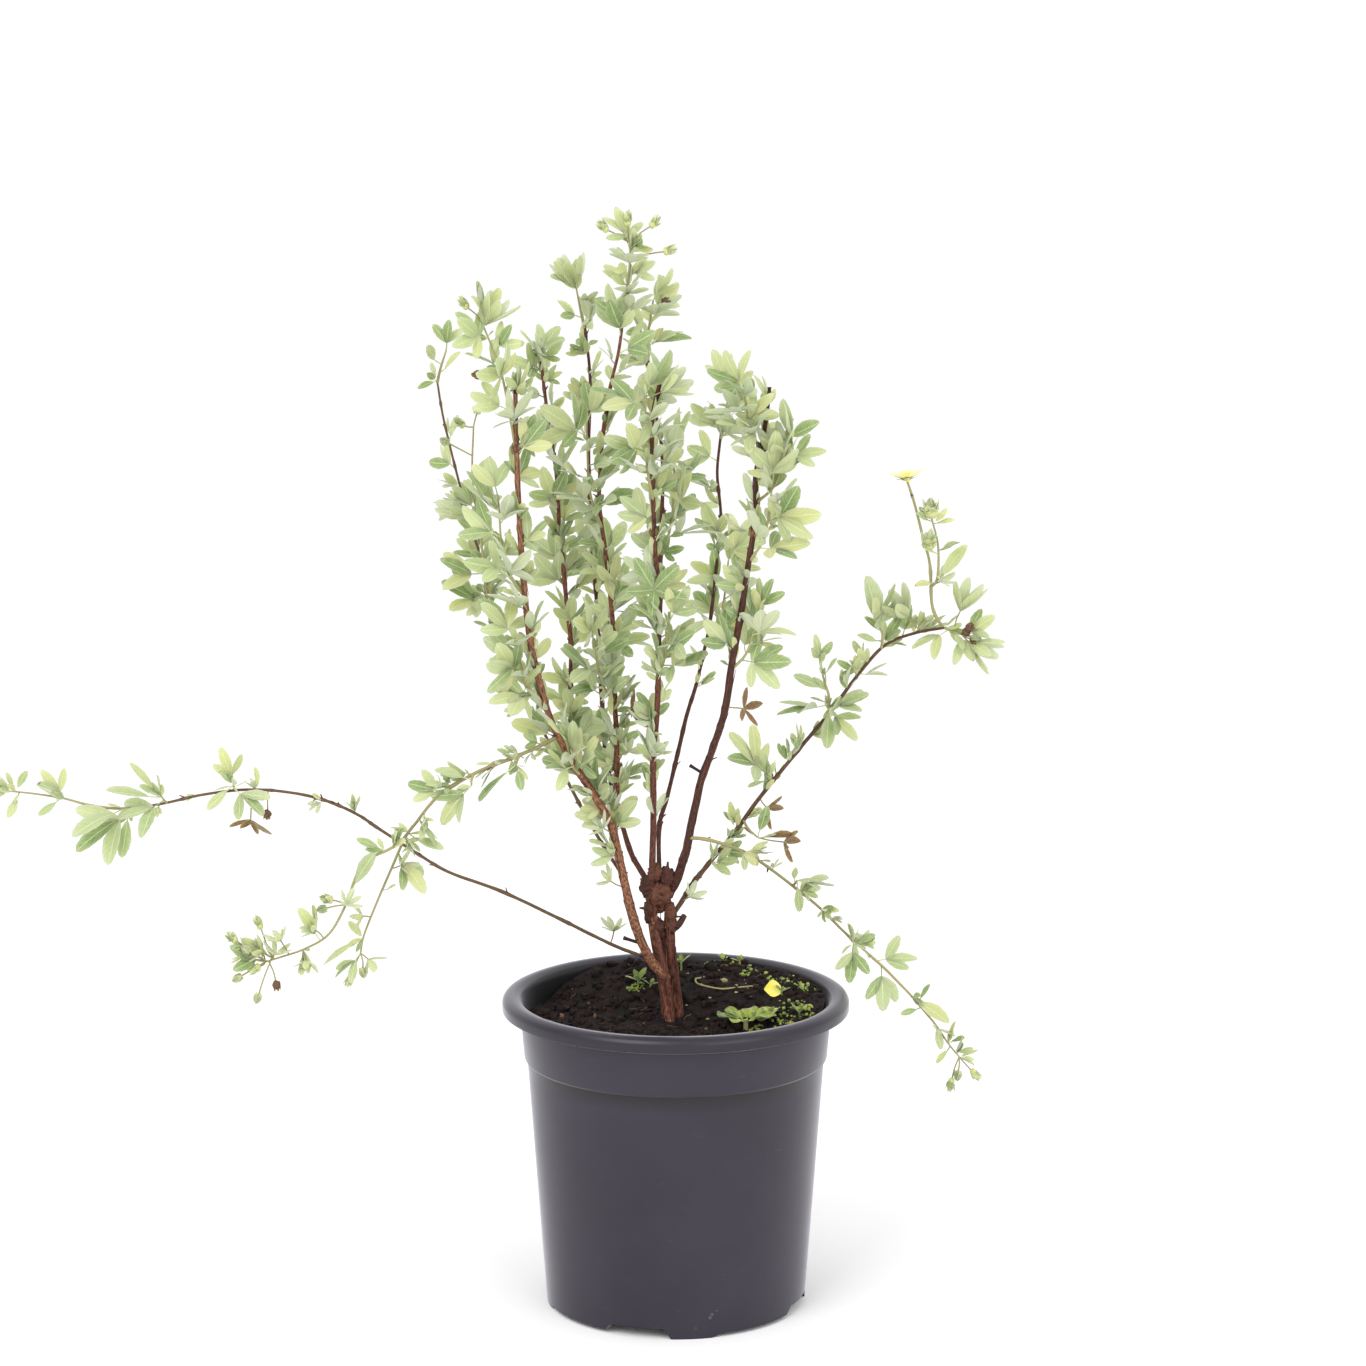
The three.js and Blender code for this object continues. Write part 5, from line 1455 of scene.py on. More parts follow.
@dataclass(frozen=True)
class OldWood:
    """The crown: twisted strands of old wood that end in a gnarled knot."""

    strands: tuple[Strand, ...] = (
        Strand((-2.5, -2.2, 150), (-13, -2, 222), 2.7, 30),
        Strand((1.5, 0.5, 150), (-3.5, 0, 224), 2.9, 55),
        Strand((-4.8, 2.0, 150), (-13.5, 2, 220), 2.5, -30),
        Strand((0.5, 3, 150), (-4, 2.5, 222), 2.4, 60),
        Strand((-1.0, -3.4, 150), (-11, -3.4, 210), 1.7, -20),
    )
    lumps: tuple[tuple[Point, Point], ...] = (
        ((-9, 0, 229), (6.8, 5.8, 7.0)), ((-3, -1, 217), (3.2, 4.4, 7)),
        ((-15, 1, 233), (4.6, 4.8, 6.6)), ((-5, 1, 238), (4.4, 4.6, 5.6)),
        ((-14.5, -1, 220), (3.0, 4.2, 7)), ((-11, -2, 241), (3.6, 3.6, 4.6)),
        ((-9.4, -1, 209.5), (4.2, 3.8, 5.6)), ((-9, 1.5, 221), (4.6, 3.4, 3.4)),
        ((-2.5, -1.5, 212), (3.2, 3.6, 5.0)),
    )
    stubs: int = 34
    bark_strips: int = 26
    swing: float = 1.8
    roughness: tuple[tuple[float, float], ...] = ((0.3, 0.3), (0.85, 0.22), (2.2, 0.1))

    def build(self) -> Piece:
        """Winds the strands, heaps the knot and adds bark strips and stubs."""
        piece = Piece("old_wood")
        rng = random.Random("old wood")
        for strand in self.strands:
            foot, top = np.array(strand.foot), np.array(strand.top)
            points = []
            for share in (k / 6 for k in range(7)):
                swing = turned(np.array((self.swing, 0, 0)), UP, strand.twist * 4 * share)
                points.append(foot + (top - foot) * share + swing * sin(pi * share))
            self.wood(piece, Line(points), strand.radius, rng)
        for centre, size in self.lumps:
            knot = piece.lump(centre, size, 0.0, Bark(), Tint(0, 0.45, rng.random()), 4)
            for vert in knot:
                away = vert.co - Vector(centre)
                rough = sum(noise.noise(vert.co * scale) * height for scale, height in self.roughness)
                vert.co = Vector(centre) + away * (1 + rough)
        self.knags(piece, rng)
        self.strips(piece, rng)
        return piece

    def knags(self, piece: Piece, rng: random.Random) -> None:
        """The short broken ends that stick out of the knot."""
        piece.tube(Line([(-4, -1, 208), (1.5, -2, 212), (5.0, -2, 217.5)]),
                   lambda share, angle: 2.3 - 0.9 * share + 0.4 * sin(3 * angle), 9, 7, Bark(),
                   Tint(0, 0.55, 0.2))
        for k in range(self.stubs):
            centre, size = self.lumps[k % len(self.lumps)]
            out = heading(rng.uniform(0, 360), rng.uniform(-20, 80))
            base = np.array(centre) + out * np.array(size) * 0.8
            tip = base + unit(out + UP * rng.uniform(-0.2, 1.0)) * rng.uniform(1.5, 4.5)
            thick = rng.uniform(0.5, 1.3)
            pale = rng.random() < 0.2
            piece.tube(Line([base, (base + tip) / 2, tip]),
                       tapered(thick, thick / 2), 6, 4, Bark(),
                       Tint(0.7 if pale else 0.0, 0.0 if pale else rng.uniform(0.2, 0.9),
                            rng.random()))

    def wood(self, piece: Piece, line: Line, foot: float, rng: random.Random) -> None:
        """One knotty strand with ridges along it, a little thinner at its top."""
        offset = rng.uniform(0, 50)
        top = foot * 0.92

        def radius(share: float, angle: float) -> float:
            """Swells at the soil and in slow waves, with ridges round it."""
            base = foot + (top - foot) * share + 0.9 * eased(share, 0.2, 0.0)
            ridges = noise.noise(Vector((cos(angle) * 1.6, sin(angle) * 1.6,
                                         offset + share * 7)))
            return base * (1 + 0.26 * ridges)

        piece.tube(line, radius, 14, 26, Bark(), Tint(0, 0.05, rng.random()))

    def strips(self, piece: Piece, rng: random.Random) -> None:
        """Loose strips of bark that hang along the trunk."""
        for _ in range(self.bark_strips):
            z = rng.uniform(164, 226)
            turn = rng.uniform(0, 360)
            share = (z - 150) / 75
            middle = np.array((-2 - 7 * share, 0.5, z))
            out = heading(turn, 0)
            reach = rng.uniform(5.2, 6.6)
            length = rng.uniform(6, 20)
            lifts = (rng.uniform(0, 1.6), 0.2, 0.0, rng.uniform(-0.5, 1.8))
            points = [middle + out * (reach + lift) + UP * (k * length / 3)
                      + np.array((-0.3 * k, 0, 0)) for k, lift in enumerate(lifts)]
            wide = rng.uniform(0.35, 0.9)
            piece.tube(Line(points), spindle(wide, 0.1, 0.8), 5, 8, Bark(),
                       Tint(0, rng.random() * 0.3, rng.random()))

    def dress(self) -> bpy.types.Object:
        """The finished crown."""
        return self.build().finish("bark", "crown", crease=60)


@dataclass(frozen=True)
class StemLook:
    """How green and how dark a stem's bark is, and how much tan its ridges take, partly as a painted
    highlight; each from 0 to 1.
    """

    youth: float = 0.0
    dark: float = 0.08
    tan: float = 0.5


STEM_LOOKS = {
    "outer_left_stem": StemLook(0.05, 0.0, 0.95),
    "middle_left_stem": StemLook(0.0, 0.05, 0.8),
    "second_left_stem": StemLook(0.0, 0.05, 0.7),
    "slender_right_stem": StemLook(0.0, 0.35, 0.3),
    "right_stem": StemLook(0.0, 0.5, 0.2),
    "long_right_stem": StemLook(0.1, 0.25, 0.5),
    "trailing_right_stem": StemLook(0.7, 0.0, 0.5),
    "drooping_left_stem": StemLook(0.6, 0.0, 0.5),
    "arching_left_stem": StemLook(0.15, 0.15, 0.5),
    "thin_left_stem": StemLook(0.15, 0.1, 0.5),
    "flower_stalk": StemLook(0.8, 0.0, 0.5),
}


@dataclass(frozen=True)
class WoodyStem:
    """One stem with its nodes, stubs and, on thick ones, peeling bark."""

    NODE_SPACING = 16
    SPAN = 2.4
    THICK, PEELING = 2.5, 2.0
    BARE_NODES = 0.45
    STRIP_SPACING = 9

    name: str
    stem: Stem

    def build(self) -> Piece:
        """Rolls the stem and adds its nodes, stubs and strips."""
        piece = Piece(self.name + "_bark")
        rng = random.Random(self.name)
        line = Line(self.stem.points)
        foot, tip = self.stem.radii
        offset = rng.uniform(0, 90)
        length = line.length()
        nodes = [rng.uniform(0.05, 0.98) for _ in range(int(length / self.NODE_SPACING))]
        looks = STEM_LOOKS.get(self.name, StemLook())

        def radius(share: float, angle: float) -> float:
            """The taper, with slow waves, ridges and swollen nodes."""
            base = foot + (tip - foot) * share
            wave = noise.noise(Vector((cos(angle) * 0.9, sin(angle) * 0.9,
                                       offset + share * length / 9)))
            swell = sum(max(0.0, 1 - abs(share - node) * length / 2.2) for node in nodes)
            return base * (0.94 + 0.14 * wave) + 0.3 * min(1.0, swell)

        sides = 12 if foot > self.THICK else 8
        piece.tube(line, radius, sides, max(12, int(length / self.SPAN)), Bark(),
                   Tint(looks.youth, looks.dark, looks.tan))
        self.stubs(piece, line, nodes, rng)
        if foot > self.PEELING:
            self.strips(piece, line, rng)
        return piece

    def stubs(self, piece: Piece, line: Line, nodes: Sequence[float], rng: random.Random) -> None:
        """Short dead stubs and bud scales at some of the nodes."""
        foot, tip = self.stem.radii
        for node in nodes:
            if rng.random() < self.BARE_NODES:
                continue
            side, out = line.axes(node)
            turn = rng.uniform(0, 2 * pi)
            away = around(side, out, turn)
            base = line.at(node) + away * (foot + (tip - foot) * node) * 0.7
            lift = unit(away + line.tangent(node) * rng.uniform(0.6, 2.0)) * rng.uniform(1.2, 3.4)
            thick = rng.uniform(0.35, 0.6)
            piece.tube(Line([base, base + lift * 0.6, base + lift]), tapered(thick, thick * 0.45),
                       5, 3, Bark(), Tint(0, rng.uniform(0.2, 0.9), rng.random()))

    def strips(self, piece: Piece, line: Line, rng: random.Random) -> None:
        """Strips of bark that come away from a thick stem."""
        foot, tip = self.stem.radii
        for _ in range(int(line.length() / self.STRIP_SPACING)):
            start = rng.uniform(0.0, 0.9)
            side, out = line.axes(start)
            turn = rng.uniform(0, 2 * pi)
            away = around(side, out, turn)
            reach = (foot + (tip - foot) * start) * 0.92
            step = rng.uniform(0.012, 0.03)
            lifts = (rng.uniform(0, 0.7), 0.0, 0.0, rng.uniform(0, 0.9))
            points = [line.at(min(1.0, start + step * k)) + away * (reach + lift)
                      for k, lift in enumerate(lifts)]
            wide = rng.uniform(0.2, 0.42)
            piece.tube(Line(points), spindle(wide, 0.08, 0.84), 4, 6, Bark(),
                       Tint(0, rng.random() * 0.2, rng.random()))

    def dress(self) -> bpy.types.Object:
        """The finished stem."""
        slot = "foliage" if self.name == "flower_stalk" else "bark"
        return self.build().finish(slot, self.name, crease=70)


@dataclass(frozen=True)
class LeafyShoot:
    """A young twig with its divided leaves, the small tufts in their axils and its buds."""

    ROLL, TURN = 12, 6
    YOUTHS = (-0.25, 0.3)
    SIZES = (0.94, 1.1)
    EDGE_BROWNED, EDGE_BROWNED_SHARE = 0.35, 0.12
    SPOTTED, SPOTTED_SHARE = 0.3, 0.06
    LOWER_FROM, LOWER = 60, 0.16
    TIP_UP, SIDE_UP = (12, 13), (0, 18)
    WIDTHS, FOLDS, ARCHES = (0.92, 1.12), (0.1, 0.5), (-0.06, 0.2)
    SWEEPS, WAVES = (-0.08, 0.08), (-0.06, 0.06)
    BARE_AXILS = 0.3
    TUFTS, TUFT_LENGTHS = (1, 2, 3), (6, 12)
    SEPALS = 5

    name: str
    line: Line
    leaves: Sequence[LeafPose]
    youth: float = 0.35
    browned: float = 0.0
    wild: float = 0.0
    width_share: float = 0.41

    def build(self) -> Piece:
        """Rolls the twig and hangs its leaves on it."""
        piece = Piece(self.name + "_skin")
        rng = random.Random(self.name)
        length = self.line.length()
        piece.tube(self.line, tapered(0.85, 0.4), 6, max(5, int(length / 2.5)), Bark(),
                   Tint(0.8, 0, rng.random()))
        for leaf in self.leaves:
            if leaf.count:
                self.leaf(piece, leaf, rng)
                self.tuft(piece, leaf, rng)
            else:
                self.bud(piece, leaf, rng)
        return piece

    def leaf(self, piece: Piece, leaf: LeafPose, rng: random.Random) -> None:
        """One leaf: its stalk and its leaflets."""
        face = turned(leaf.face, leaf.direction, rng.gauss(0, self.ROLL + self.wild))
        leaf = LeafPose(leaf.base, leaf.direction, face, leaf.reach, leaf.count)
        across, along, square = leaf.axes()
        stalk = leaf.reach * Growth.STALK_SHARE
        top = leaf.base + along * stalk
        sag = square * rng.uniform(-0.8, 0.3)
        piece.tube(Line([leaf.base, leaf.base + along * stalk * 0.5 + sag * 0.5, top + along * 0.8]),
                   tapered(0.42, 0.1), 5, 4, Leaf(), Tint(0.8, 0, rng.random()))
        youth = min(1.0, max(0.0, self.youth + rng.uniform(*self.YOUTHS)))
        browned = 0.0
        if rng.random() < self.browned:
            browned = 1.0
        elif rng.random() < self.EDGE_BROWNED_SHARE:
            browned = self.EDGE_BROWNED
        for angle, share in LEAFLETS[leaf.count]:
            size = (leaf.reach - stalk) * share * rng.uniform(*self.SIZES)
            lower = 0.0 if abs(angle) < self.LOWER_FROM else self.LOWER * stalk
            turn = angle + rng.uniform(-self.TURN, self.TURN)
            spotted = self.SPOTTED * (rng.random() < self.SPOTTED_SHARE)
            self.leaflet(piece, (across, along, square), top - along * lower, turn, size,
                         Tint(youth, max(browned, spotted), rng.random()), rng)

    def leaflet(self, piece: Piece, axes: tuple[Array, Array, Array],
                foot: Array, angle: float, size: float, tint: Tint,
                rng: random.Random) -> None:
        """One leaflet, turned in the leaf's plane and tipped a little out of it.

        Args:
            piece: The shoot's piece.
            axes: The leaf's across, along and square directions.
            foot: Where the leaflet springs.
            angle: Its turn in the leaf's plane, in degrees.
            size: Its length.
            tint: Its tint.
            rng: The shoot's own random numbers.
        """
        across, along, square = axes
        turn = radians(angle)
        aside = around(across, -along, turn)
        forward = turned(around(along, across, turn), aside, rng.gauss(*self.TIP_UP))
        aside = turned(aside, forward, rng.gauss(*self.SIDE_UP))
        blade = Blade(size, size * self.width_share * rng.uniform(*self.WIDTHS),
                      fold=rng.uniform(*self.FOLDS), arch=rng.uniform(*self.ARCHES),
                      sweep=rng.uniform(*self.SWEEPS), wave=rng.uniform(*self.WAVES))
        piece.blade(blade, laid(foot, aside, forward, np.cross(aside, forward)), Leaf(), tint)

    def tuft(self, piece: Piece, leaf: LeafPose, rng: random.Random) -> None:
        """The small young leaves in a leaf's axil."""
        if rng.random() < self.BARE_AXILS:
            return
        for _ in range(rng.choice(self.TUFTS)):
            spread = unit(leaf.direction + np.array([rng.uniform(-0.8, 0.8) for _ in range(3)])
                          + UP * 0.3)
            face = Growth.facing(spread, rng.uniform(-50, 50))
            small = LeafPose(leaf.base, spread, face, rng.uniform(*self.TUFT_LENGTHS), 1)
            self.leaflet(piece, small.axes(), leaf.base + spread * rng.uniform(0.3, 2.5), 0.0,
                         small.reach, Tint(min(1.0, self.youth + 0.4), 0, rng.random()), rng)

    def bud(self, piece: Piece, leaf: LeafPose, rng: random.Random) -> None:
        """A closed bud on its stalk, in pointed sepals."""
        tip = leaf.base + leaf.direction * leaf.reach
        bow = unit(np.cross(leaf.direction, UP + FRONT * 0.3)) * rng.uniform(-0.8, 0.8)
        middle = (leaf.base + tip) / 2 + bow
        piece.tube(Line([leaf.base, middle, tip]), tapered(0.4, -0.1), 5, 6, Bark(),
                   Tint(0.9, 0, rng.random()))
        across, along, square = leaf.axes()
        sepal = Blade(6.2, 3.6, fold=0.3, arch=0.28)
        for k in range(self.SEPALS):
            side = around(across, square, 2 * pi * k / self.SEPALS)
            out = np.cross(along, side)
            piece.blade(sepal, laid(tip - along * 1.6 + out * 1.7, side, along, out), Leaf(),
                        Tint(0.7, 0.1, rng.random()))
        middle = tip + along * 0.8
        for vert in piece.lump(middle, (1.9, 1.9, 2.2), 0.1, Leaf(), Tint(1, 0, 1)):
            away = np.array(vert.co) - middle
            vert.co = Vector(middle + across * away[0] + square * away[1] + along * away[2])

    def dress(self) -> bpy.types.Object:
        """The finished shoot."""
        return self.build().finish("foliage", self.name, crease=75)


@dataclass(frozen=True)
class SpurLeaves(LeafyShoot):
    """The small leaves that a woody stem carries without a twig of their own."""

    def build(self) -> Piece:
        """Hangs the leaves straight on the stem."""
        piece = Piece(self.name)
        rng = random.Random(self.name)
        for leaf in self.leaves:
            self.leaf(piece, leaf, rng)
            self.tuft(piece, leaf, rng)
        return piece

    def dress(self) -> bpy.types.Object:
        """The finished leaves; they stand for no node of the frame."""
        return self.build().finish("foliage", crease=75)


@dataclass(frozen=True)
class OpenFlower:
    """The open yellow flower at the end of its stalk."""

    centre: Point = (124.7, 16.0, 454.6)
    lean: float = 8.0
    petals: int = 5
    petal_length: float = 9.8
    petal_width: float = 9.4
    petal_lift: float = 16.0
    sepal_length: float = 6.8
    sepal_width: float = 3.4
    sepal_lift: float = 12.0
    stamens: int = 18
    turn: float = 18.0

    def build(self) -> Piece:
        """Cups five petals round the stamens, over pointed sepals."""
        piece = Piece("flower_petals")
        rng = random.Random("flower")
        axis = turned(UP, np.array((0.0, 1.0, 0.0)), -self.lean)
        centre = np.array(self.centre)
        step = 360 / self.petals
        for k in range(self.petals):
            turn = step * k + self.turn
            self.ring(piece, centre, axis, turn, self.petal_lift, self.petal_length,
                      self.petal_width, Petal(), Tint(1.0, 0, rng.random()))
            self.ring(piece, centre - axis, axis, turn + step / 2, self.sepal_lift,
                      self.sepal_length, self.sepal_width, Leaf(), Tint(0.9, 0, rng.random()))
        for _ in range(self.stamens):
            turn = rng.uniform(0, 360)
            out = turned(unit(np.cross(axis, FRONT)), axis, turn)
            reach = rng.uniform(0.4, 3.0)
            tip = centre + out * reach + axis * rng.uniform(2.0, 3.2)
            piece.tube(Line([centre, (centre + tip) / 2 + out * 0.2, tip]), tapered(0.12), 4, 3,
                       Petal(), Tint(0.2, 0, rng.random()))
            piece.lump(tip, (0.4, 0.4, 0.4), 0.2, Petal(), Tint(0.1, 0, rng.random()))
        piece.lump(centre, (2.2, 2.2, 1.6), 0.2, Petal(), Tint(0, 0, 0.5), 2)
        return piece

    def ring(self, piece: Piece, centre: Array, axis: Array, turn: float, lift: float,
             length: float, width: float, finish: Finish, tint: Tint) -> None:
        """One petal or sepal, turned round the flower's axis and lifted off its plane.

        Args:
            piece: The flower's piece.
            centre: Where it springs.
            axis: The flower's axis.
            turn: Its turn round the axis, in degrees.
            lift: Its lift off the flower's plane, in degrees.
            length: Its length.
            width: Its width.
            finish: Its finish.
            tint: Its tint.
        """
        out = turned(unit(np.cross(axis, FRONT)), axis, turn)
        side = np.cross(axis, out)
        forward = turned(out, side, -lift)
        up = np.cross(forward, side)
        blade = Blade(length, width, fold=0.12, arch=-0.1, narrow_foot=0.55, thickness=0.3)
        piece.blade(blade, laid(centre, side, forward, up), finish, tint)

    def dress(self) -> bpy.types.Object:
        """The finished flower."""
        return self.build().finish("petals", "open_flower", crease=80)


@dataclass(frozen=True)
class FallenPetal:
    """The yellow petal that stands tilted on the soil."""

    at: tuple[float, float] = (53.5, 4.0)
    length: float = 10.0
    width: float = 9.4
    tilt: float = 50.0

    def build(self, soil: PottingSoil) -> Piece:
        """Props the petal on the crumbs."""
        piece = Piece("fallen_petal_skin")
        x, y = self.at
        raised = self.width / 2 * sin(radians(self.tilt))
        rest = soil.height(x, y - self.width / 2) + 0.4 + raised
        forward = np.array((1.0, 0, 0))
        side = turned(np.array((0.0, 1.0, 0.0)), forward, self.tilt)
        up = np.cross(forward, side)
        foot = np.array((x - self.length / 2, y, rest))
        blade = Blade(self.length, self.width, fold=0.34, arch=0.2, wave=0.16, narrow_foot=0.45,
                      point=-0.2, columns=16, rows=10)
        piece.blade(blade, laid(foot, side, forward, up), Petal(), Tint(0.5, 0, 0.5))
        return piece

    def dress(self, soil: PottingSoil) -> bpy.types.Object:
        """The finished petal."""
        return self.build(soil).finish("petals", "fallen_petal", crease=80)


@dataclass(frozen=True)
class WeedSeedling:
    """The small round-leaved weed by the front of the pot."""

    at: tuple[float, float] = (38.0, -27.0)
    stub_height: float = 6.0
    leaves: tuple[tuple[float, float], ...] = ((200, 17), (310, 15), (75, 15), (20, 20), (140, 14))
    rise: float = 24.0

    def build(self, soil: PottingSoil) -> Piece:
        """Sets the stub in the soil and spreads the leaves round it."""
        piece = Piece("weed_leaves")
        rng = random.Random("weed")
        x, y = self.at
        ground = soil.height(x, y)
        stub = Line([(x, y, ground - 3), (x, y, ground + 2), (x, y - 0.3, ground + self.stub_height)])
        piece.tube(stub, tapered(1.5, 0.4), 8, 6, Bark(), Tint(0.85, 0.0, 0.9))
        for azimuth, reach in self.leaves:
            lift = self.rise + rng.uniform(-3, 6)
            forward = heading(azimuth, lift)
            side = unit(np.cross(UP, forward))
            up = np.cross(forward, side)
            base = np.array((x, y, ground + 4.0))
            stalk = Line([base, base + forward * reach * 0.25 + UP * 0.4,
                          base + forward * reach * 0.42])
            piece.tube(stalk, tapered(0.5, 0.1), 5, 4, FRESH_LEAF, Tint(0.7, 0, rng.random()))
            foot = base + forward * reach * 0.34
            for turn, share in ((-46, 0.8), (0, 1.0), (46, 0.8)):
                place = laid(foot, turned(side, up, turn), turned(forward, up, turn), up)
                blade = Blade(reach * 0.72 * share, reach * 0.66 * share, fold=0.1, arch=0.1,
                              narrow_foot=0.8, wave=0.1, columns=10, rows=8)
                piece.blade(blade, place, FRESH_LEAF, Tint(rng.random(), 0, rng.random()))
        return piece

    def dress(self, soil: PottingSoil) -> bpy.types.Object:
        """The finished weed."""
        return self.build(soil).finish("weed", "weed_seedling", crease=80)


class Oddity(Enum):
    """The small things that stems and shoots carry besides their leaves."""

    SPENT = "spent flower head"
    BUD = "bud"
    CUP = "open calyx"
    CUT = "dead cut tip"
    NODE = "swollen node"
    WITHERED = "withered leaf"
    FRESH = "tuft of young leaves"
    FAN = "upright fan of leaflets"
    FACING = "leaf of five that faces the front"


WOODY_ODDITIES = (Oddity.CUT, Oddity.NODE)


@dataclass(frozen=True)
class Head:
    """A head: its sepals' length, width and closing angle in degrees, and the heart in them."""

    length: float
    width: float
    closed: float
    tint: Tint
    lift: float
    heart: Point
    rough: float
    finish: Finish
    heart_tint: Tint


HEADS = {
    Oddity.SPENT: Head(5.2, 2.6, 62, Tint(0.5, 1.0), 1.4, (2.2, 2.2, 2.4), 0.5, Bark(),
                       Tint(0.15, 0.2, 0.5)),
    Oddity.BUD: Head(7.4, 3.2, 66, Tint(0.9, 0.25), 1.2, (1.9, 1.9, 2.4), 0.2, Leaf(),
                     Tint(1, 0.3, 1)),
    Oddity.CUP: Head(9.5, 5.4, 46, Tint(1.0, 0.2), 0.6, (4.0, 4.0, 3.4), 0.2, Leaf(),
                     Tint(1, 0.2, 1)),
}


@dataclass(frozen=True)
class OddLeaf:
    """An odd leaf: its leaflets, their length, how far they spread in degrees, and their tint."""

    leaflets: int
    length: float
    spread: float
    tint: Tint


ODD_LEAVES = {
    Oddity.WITHERED: OddLeaf(4, 13.0, 46.0, Tint(0.2, 1.3, 0.5)),
    Oddity.FRESH: OddLeaf(6, 10.0, 46.0, Tint(0.9, 0.0, 0.8)),
    Oddity.FAN: OddLeaf(6, 20.0, 24.0, Tint(0.7, 0.0, 0.6)),
    Oddity.FACING: OddLeaf(5, 19.0, 68.0, Tint(0.0, 0.0, 0.05)),
}


@dataclass(frozen=True)
class Oddment:
    """One small thing, the stem or shoot that carries it, where along it and how far off."""

    kind: Oddity
    carrier: str
    along: float
    off: Sequence[float]


def crop(kind: Oddity, carrier: str, *places: Sequence[float]) -> list[Oddment]:
    """The small things of one kind on one stem or shoot, from places along it and X, Y, Z off."""
    return [Oddment(kind, carrier, along, off) for along, *off in places]


ODDMENTS = (
    *crop(Oddity.SPENT, "middle_back_tip", (0.88, 6, -4, 2)),
    *crop(Oddity.SPENT, "outer_left_tip", (0.67, -10, -2, -3)),
    *crop(Oddity.SPENT, "long_right_tip", (1, 1, -1, 1), (1, 5, -3, -2), (1, 3, -4, 4)),
    *crop(Oddity.SPENT, "arching_left_stem", (0.77, 0, -3, -11)),
    *crop(Oddity.BUD, "outer_left_tip", (1, -8, -2, 9)),
    *crop(Oddity.BUD, "thin_left_leaves", (1, -5, -2, 1)),
    *crop(Oddity.BUD, "middle_left_tip", (0.73, 18, -3, 2), (1, -12, -2, 7), (1, -1, -3, 10),
          (1, 11, 0, 9)),
    *crop(Oddity.BUD, "drooping_tip_left", (0.42, -7, -2, 3), (1, -15, -2, 12), (0.92, -6, -2, 18),
          (1, -2, -2, 7), (1, -3, -2, -2)),
    *crop(Oddity.SPENT, "drooping_tip_left", (0.97, 4, -2, -11)),
    *crop(Oddity.BUD, "drooping_tip_down", (1, -5, 0, -12)),
    *crop(Oddity.BUD, "trailing_tip", (1, -4, 0, -13), (1, 7, 0, -8)),
    *crop(Oddity.CUP, "flower_stalk", (0.52, 1, -3, 2)),
    *crop(Oddity.CUT, "outer_left_stem", (1, 0, 0, 2)),
    *crop(Oddity.CUT, "right_stem", (1, 0, 0, 2)),
    *crop(Oddity.CUT, "middle_stem", (1, 2, 0, 4), (0.93, 4, -2, 9)),
    *crop(Oddity.CUT, "right_stem", (0.32, -7, -3, 5)),
    *crop(Oddity.CUT, "outer_left_stem", (0.12, -10, -3, 4)),
    *crop(Oddity.NODE, "right_stem", (0.9, 0, 0, 0), (0.74, 0, 0, 0)),
    *crop(Oddity.NODE, "outer_left_stem", (0.95, 0, 0, 0)),
    *crop(Oddity.NODE, "middle_left_stem", (0.2, 0, 0, 0)),
    *crop(Oddity.NODE, "middle_stem", (0.68, 0, 0, 0)),
    *crop(Oddity.WITHERED, "arching_left_stem", (0.79, -2, -3, -16)),
    *crop(Oddity.WITHERED, "long_right_stem", (0.45, 4, -3, -5)),
    *crop(Oddity.WITHERED, "browned_leaves", (1, 14, -2, -2)),
    *crop(Oddity.WITHERED, "middle_left_stem", (0.3, 9, -4, 2)),
    *crop(Oddity.WITHERED, "right_stem", (0.47, 10, -4, 0)),
    *crop(Oddity.FRESH, "middle_stem", (0.22, 2, -4, 4)),
    *crop(Oddity.FRESH, "arching_left_stem", (0.15, 2, -3, 8)),
    *crop(Oddity.FRESH, "outer_left_stem", (0.25, -8, -3, 4)),
    *crop(Oddity.FRESH, "long_right_stem", (0.12, 4, -3, 3)),
    *crop(Oddity.FRESH, "middle_left_stem", (0.12, -4, -4, 7)),
    *crop(Oddity.FAN, "back_left_tip", (1, -1, -1, 2)),
    *crop(Oddity.FAN, "outer_left_tip", (1, 2, -1, 0)),
    *crop(Oddity.FAN, "right_leaves_high", (0.8, -2, -2, 2)),
    *crop(Oddity.FAN, "thin_left_leaves", (0.6, -4, -2, 0)),
    *crop(Oddity.FAN, "middle_leaves_high", (1, 8, -2, 2)),
    *crop(Oddity.FAN, "long_right_stem", (0.93, -8, -3, 8)),
    *crop(Oddity.FAN, "long_right_tip", (0.5, 3, -2, 12), (1, 4, -2, -4)),
    *crop(Oddity.FRESH, "flower_stalk", (0.3, 5, -3, 3)),
    *crop(Oddity.CUP, "flower_stalk_shoot", (1, 0, -1, 2)),
    *crop(Oddity.FRESH, "drooping_tip_left", (0.45, 3, -3, 5), (0.6, -4, -2, 5), (0.72, 2, -3, -5),
          (0.8, -4, -2, 8), (0.9, -6, -2, 4), (1, -10, -2, 5), (1, -8, 0, 1), (0.95, 3, -2, 4)),
    *crop(Oddity.FRESH, "drooping_tip_down", (0.4, 5, -2, 2), (0.7, -4, -2, 1), (1, 4, -1, -3)),
    *crop(Oddity.FRESH, "middle_left_stem", (0.22, 6, -4, 4)),
    *crop(Oddity.FRESH, "outer_left_stem", (0.36, -6, -4, 5)),
    *crop(Oddity.FACING, "middle_stem", (0.57, -2, -9, 3)),
)


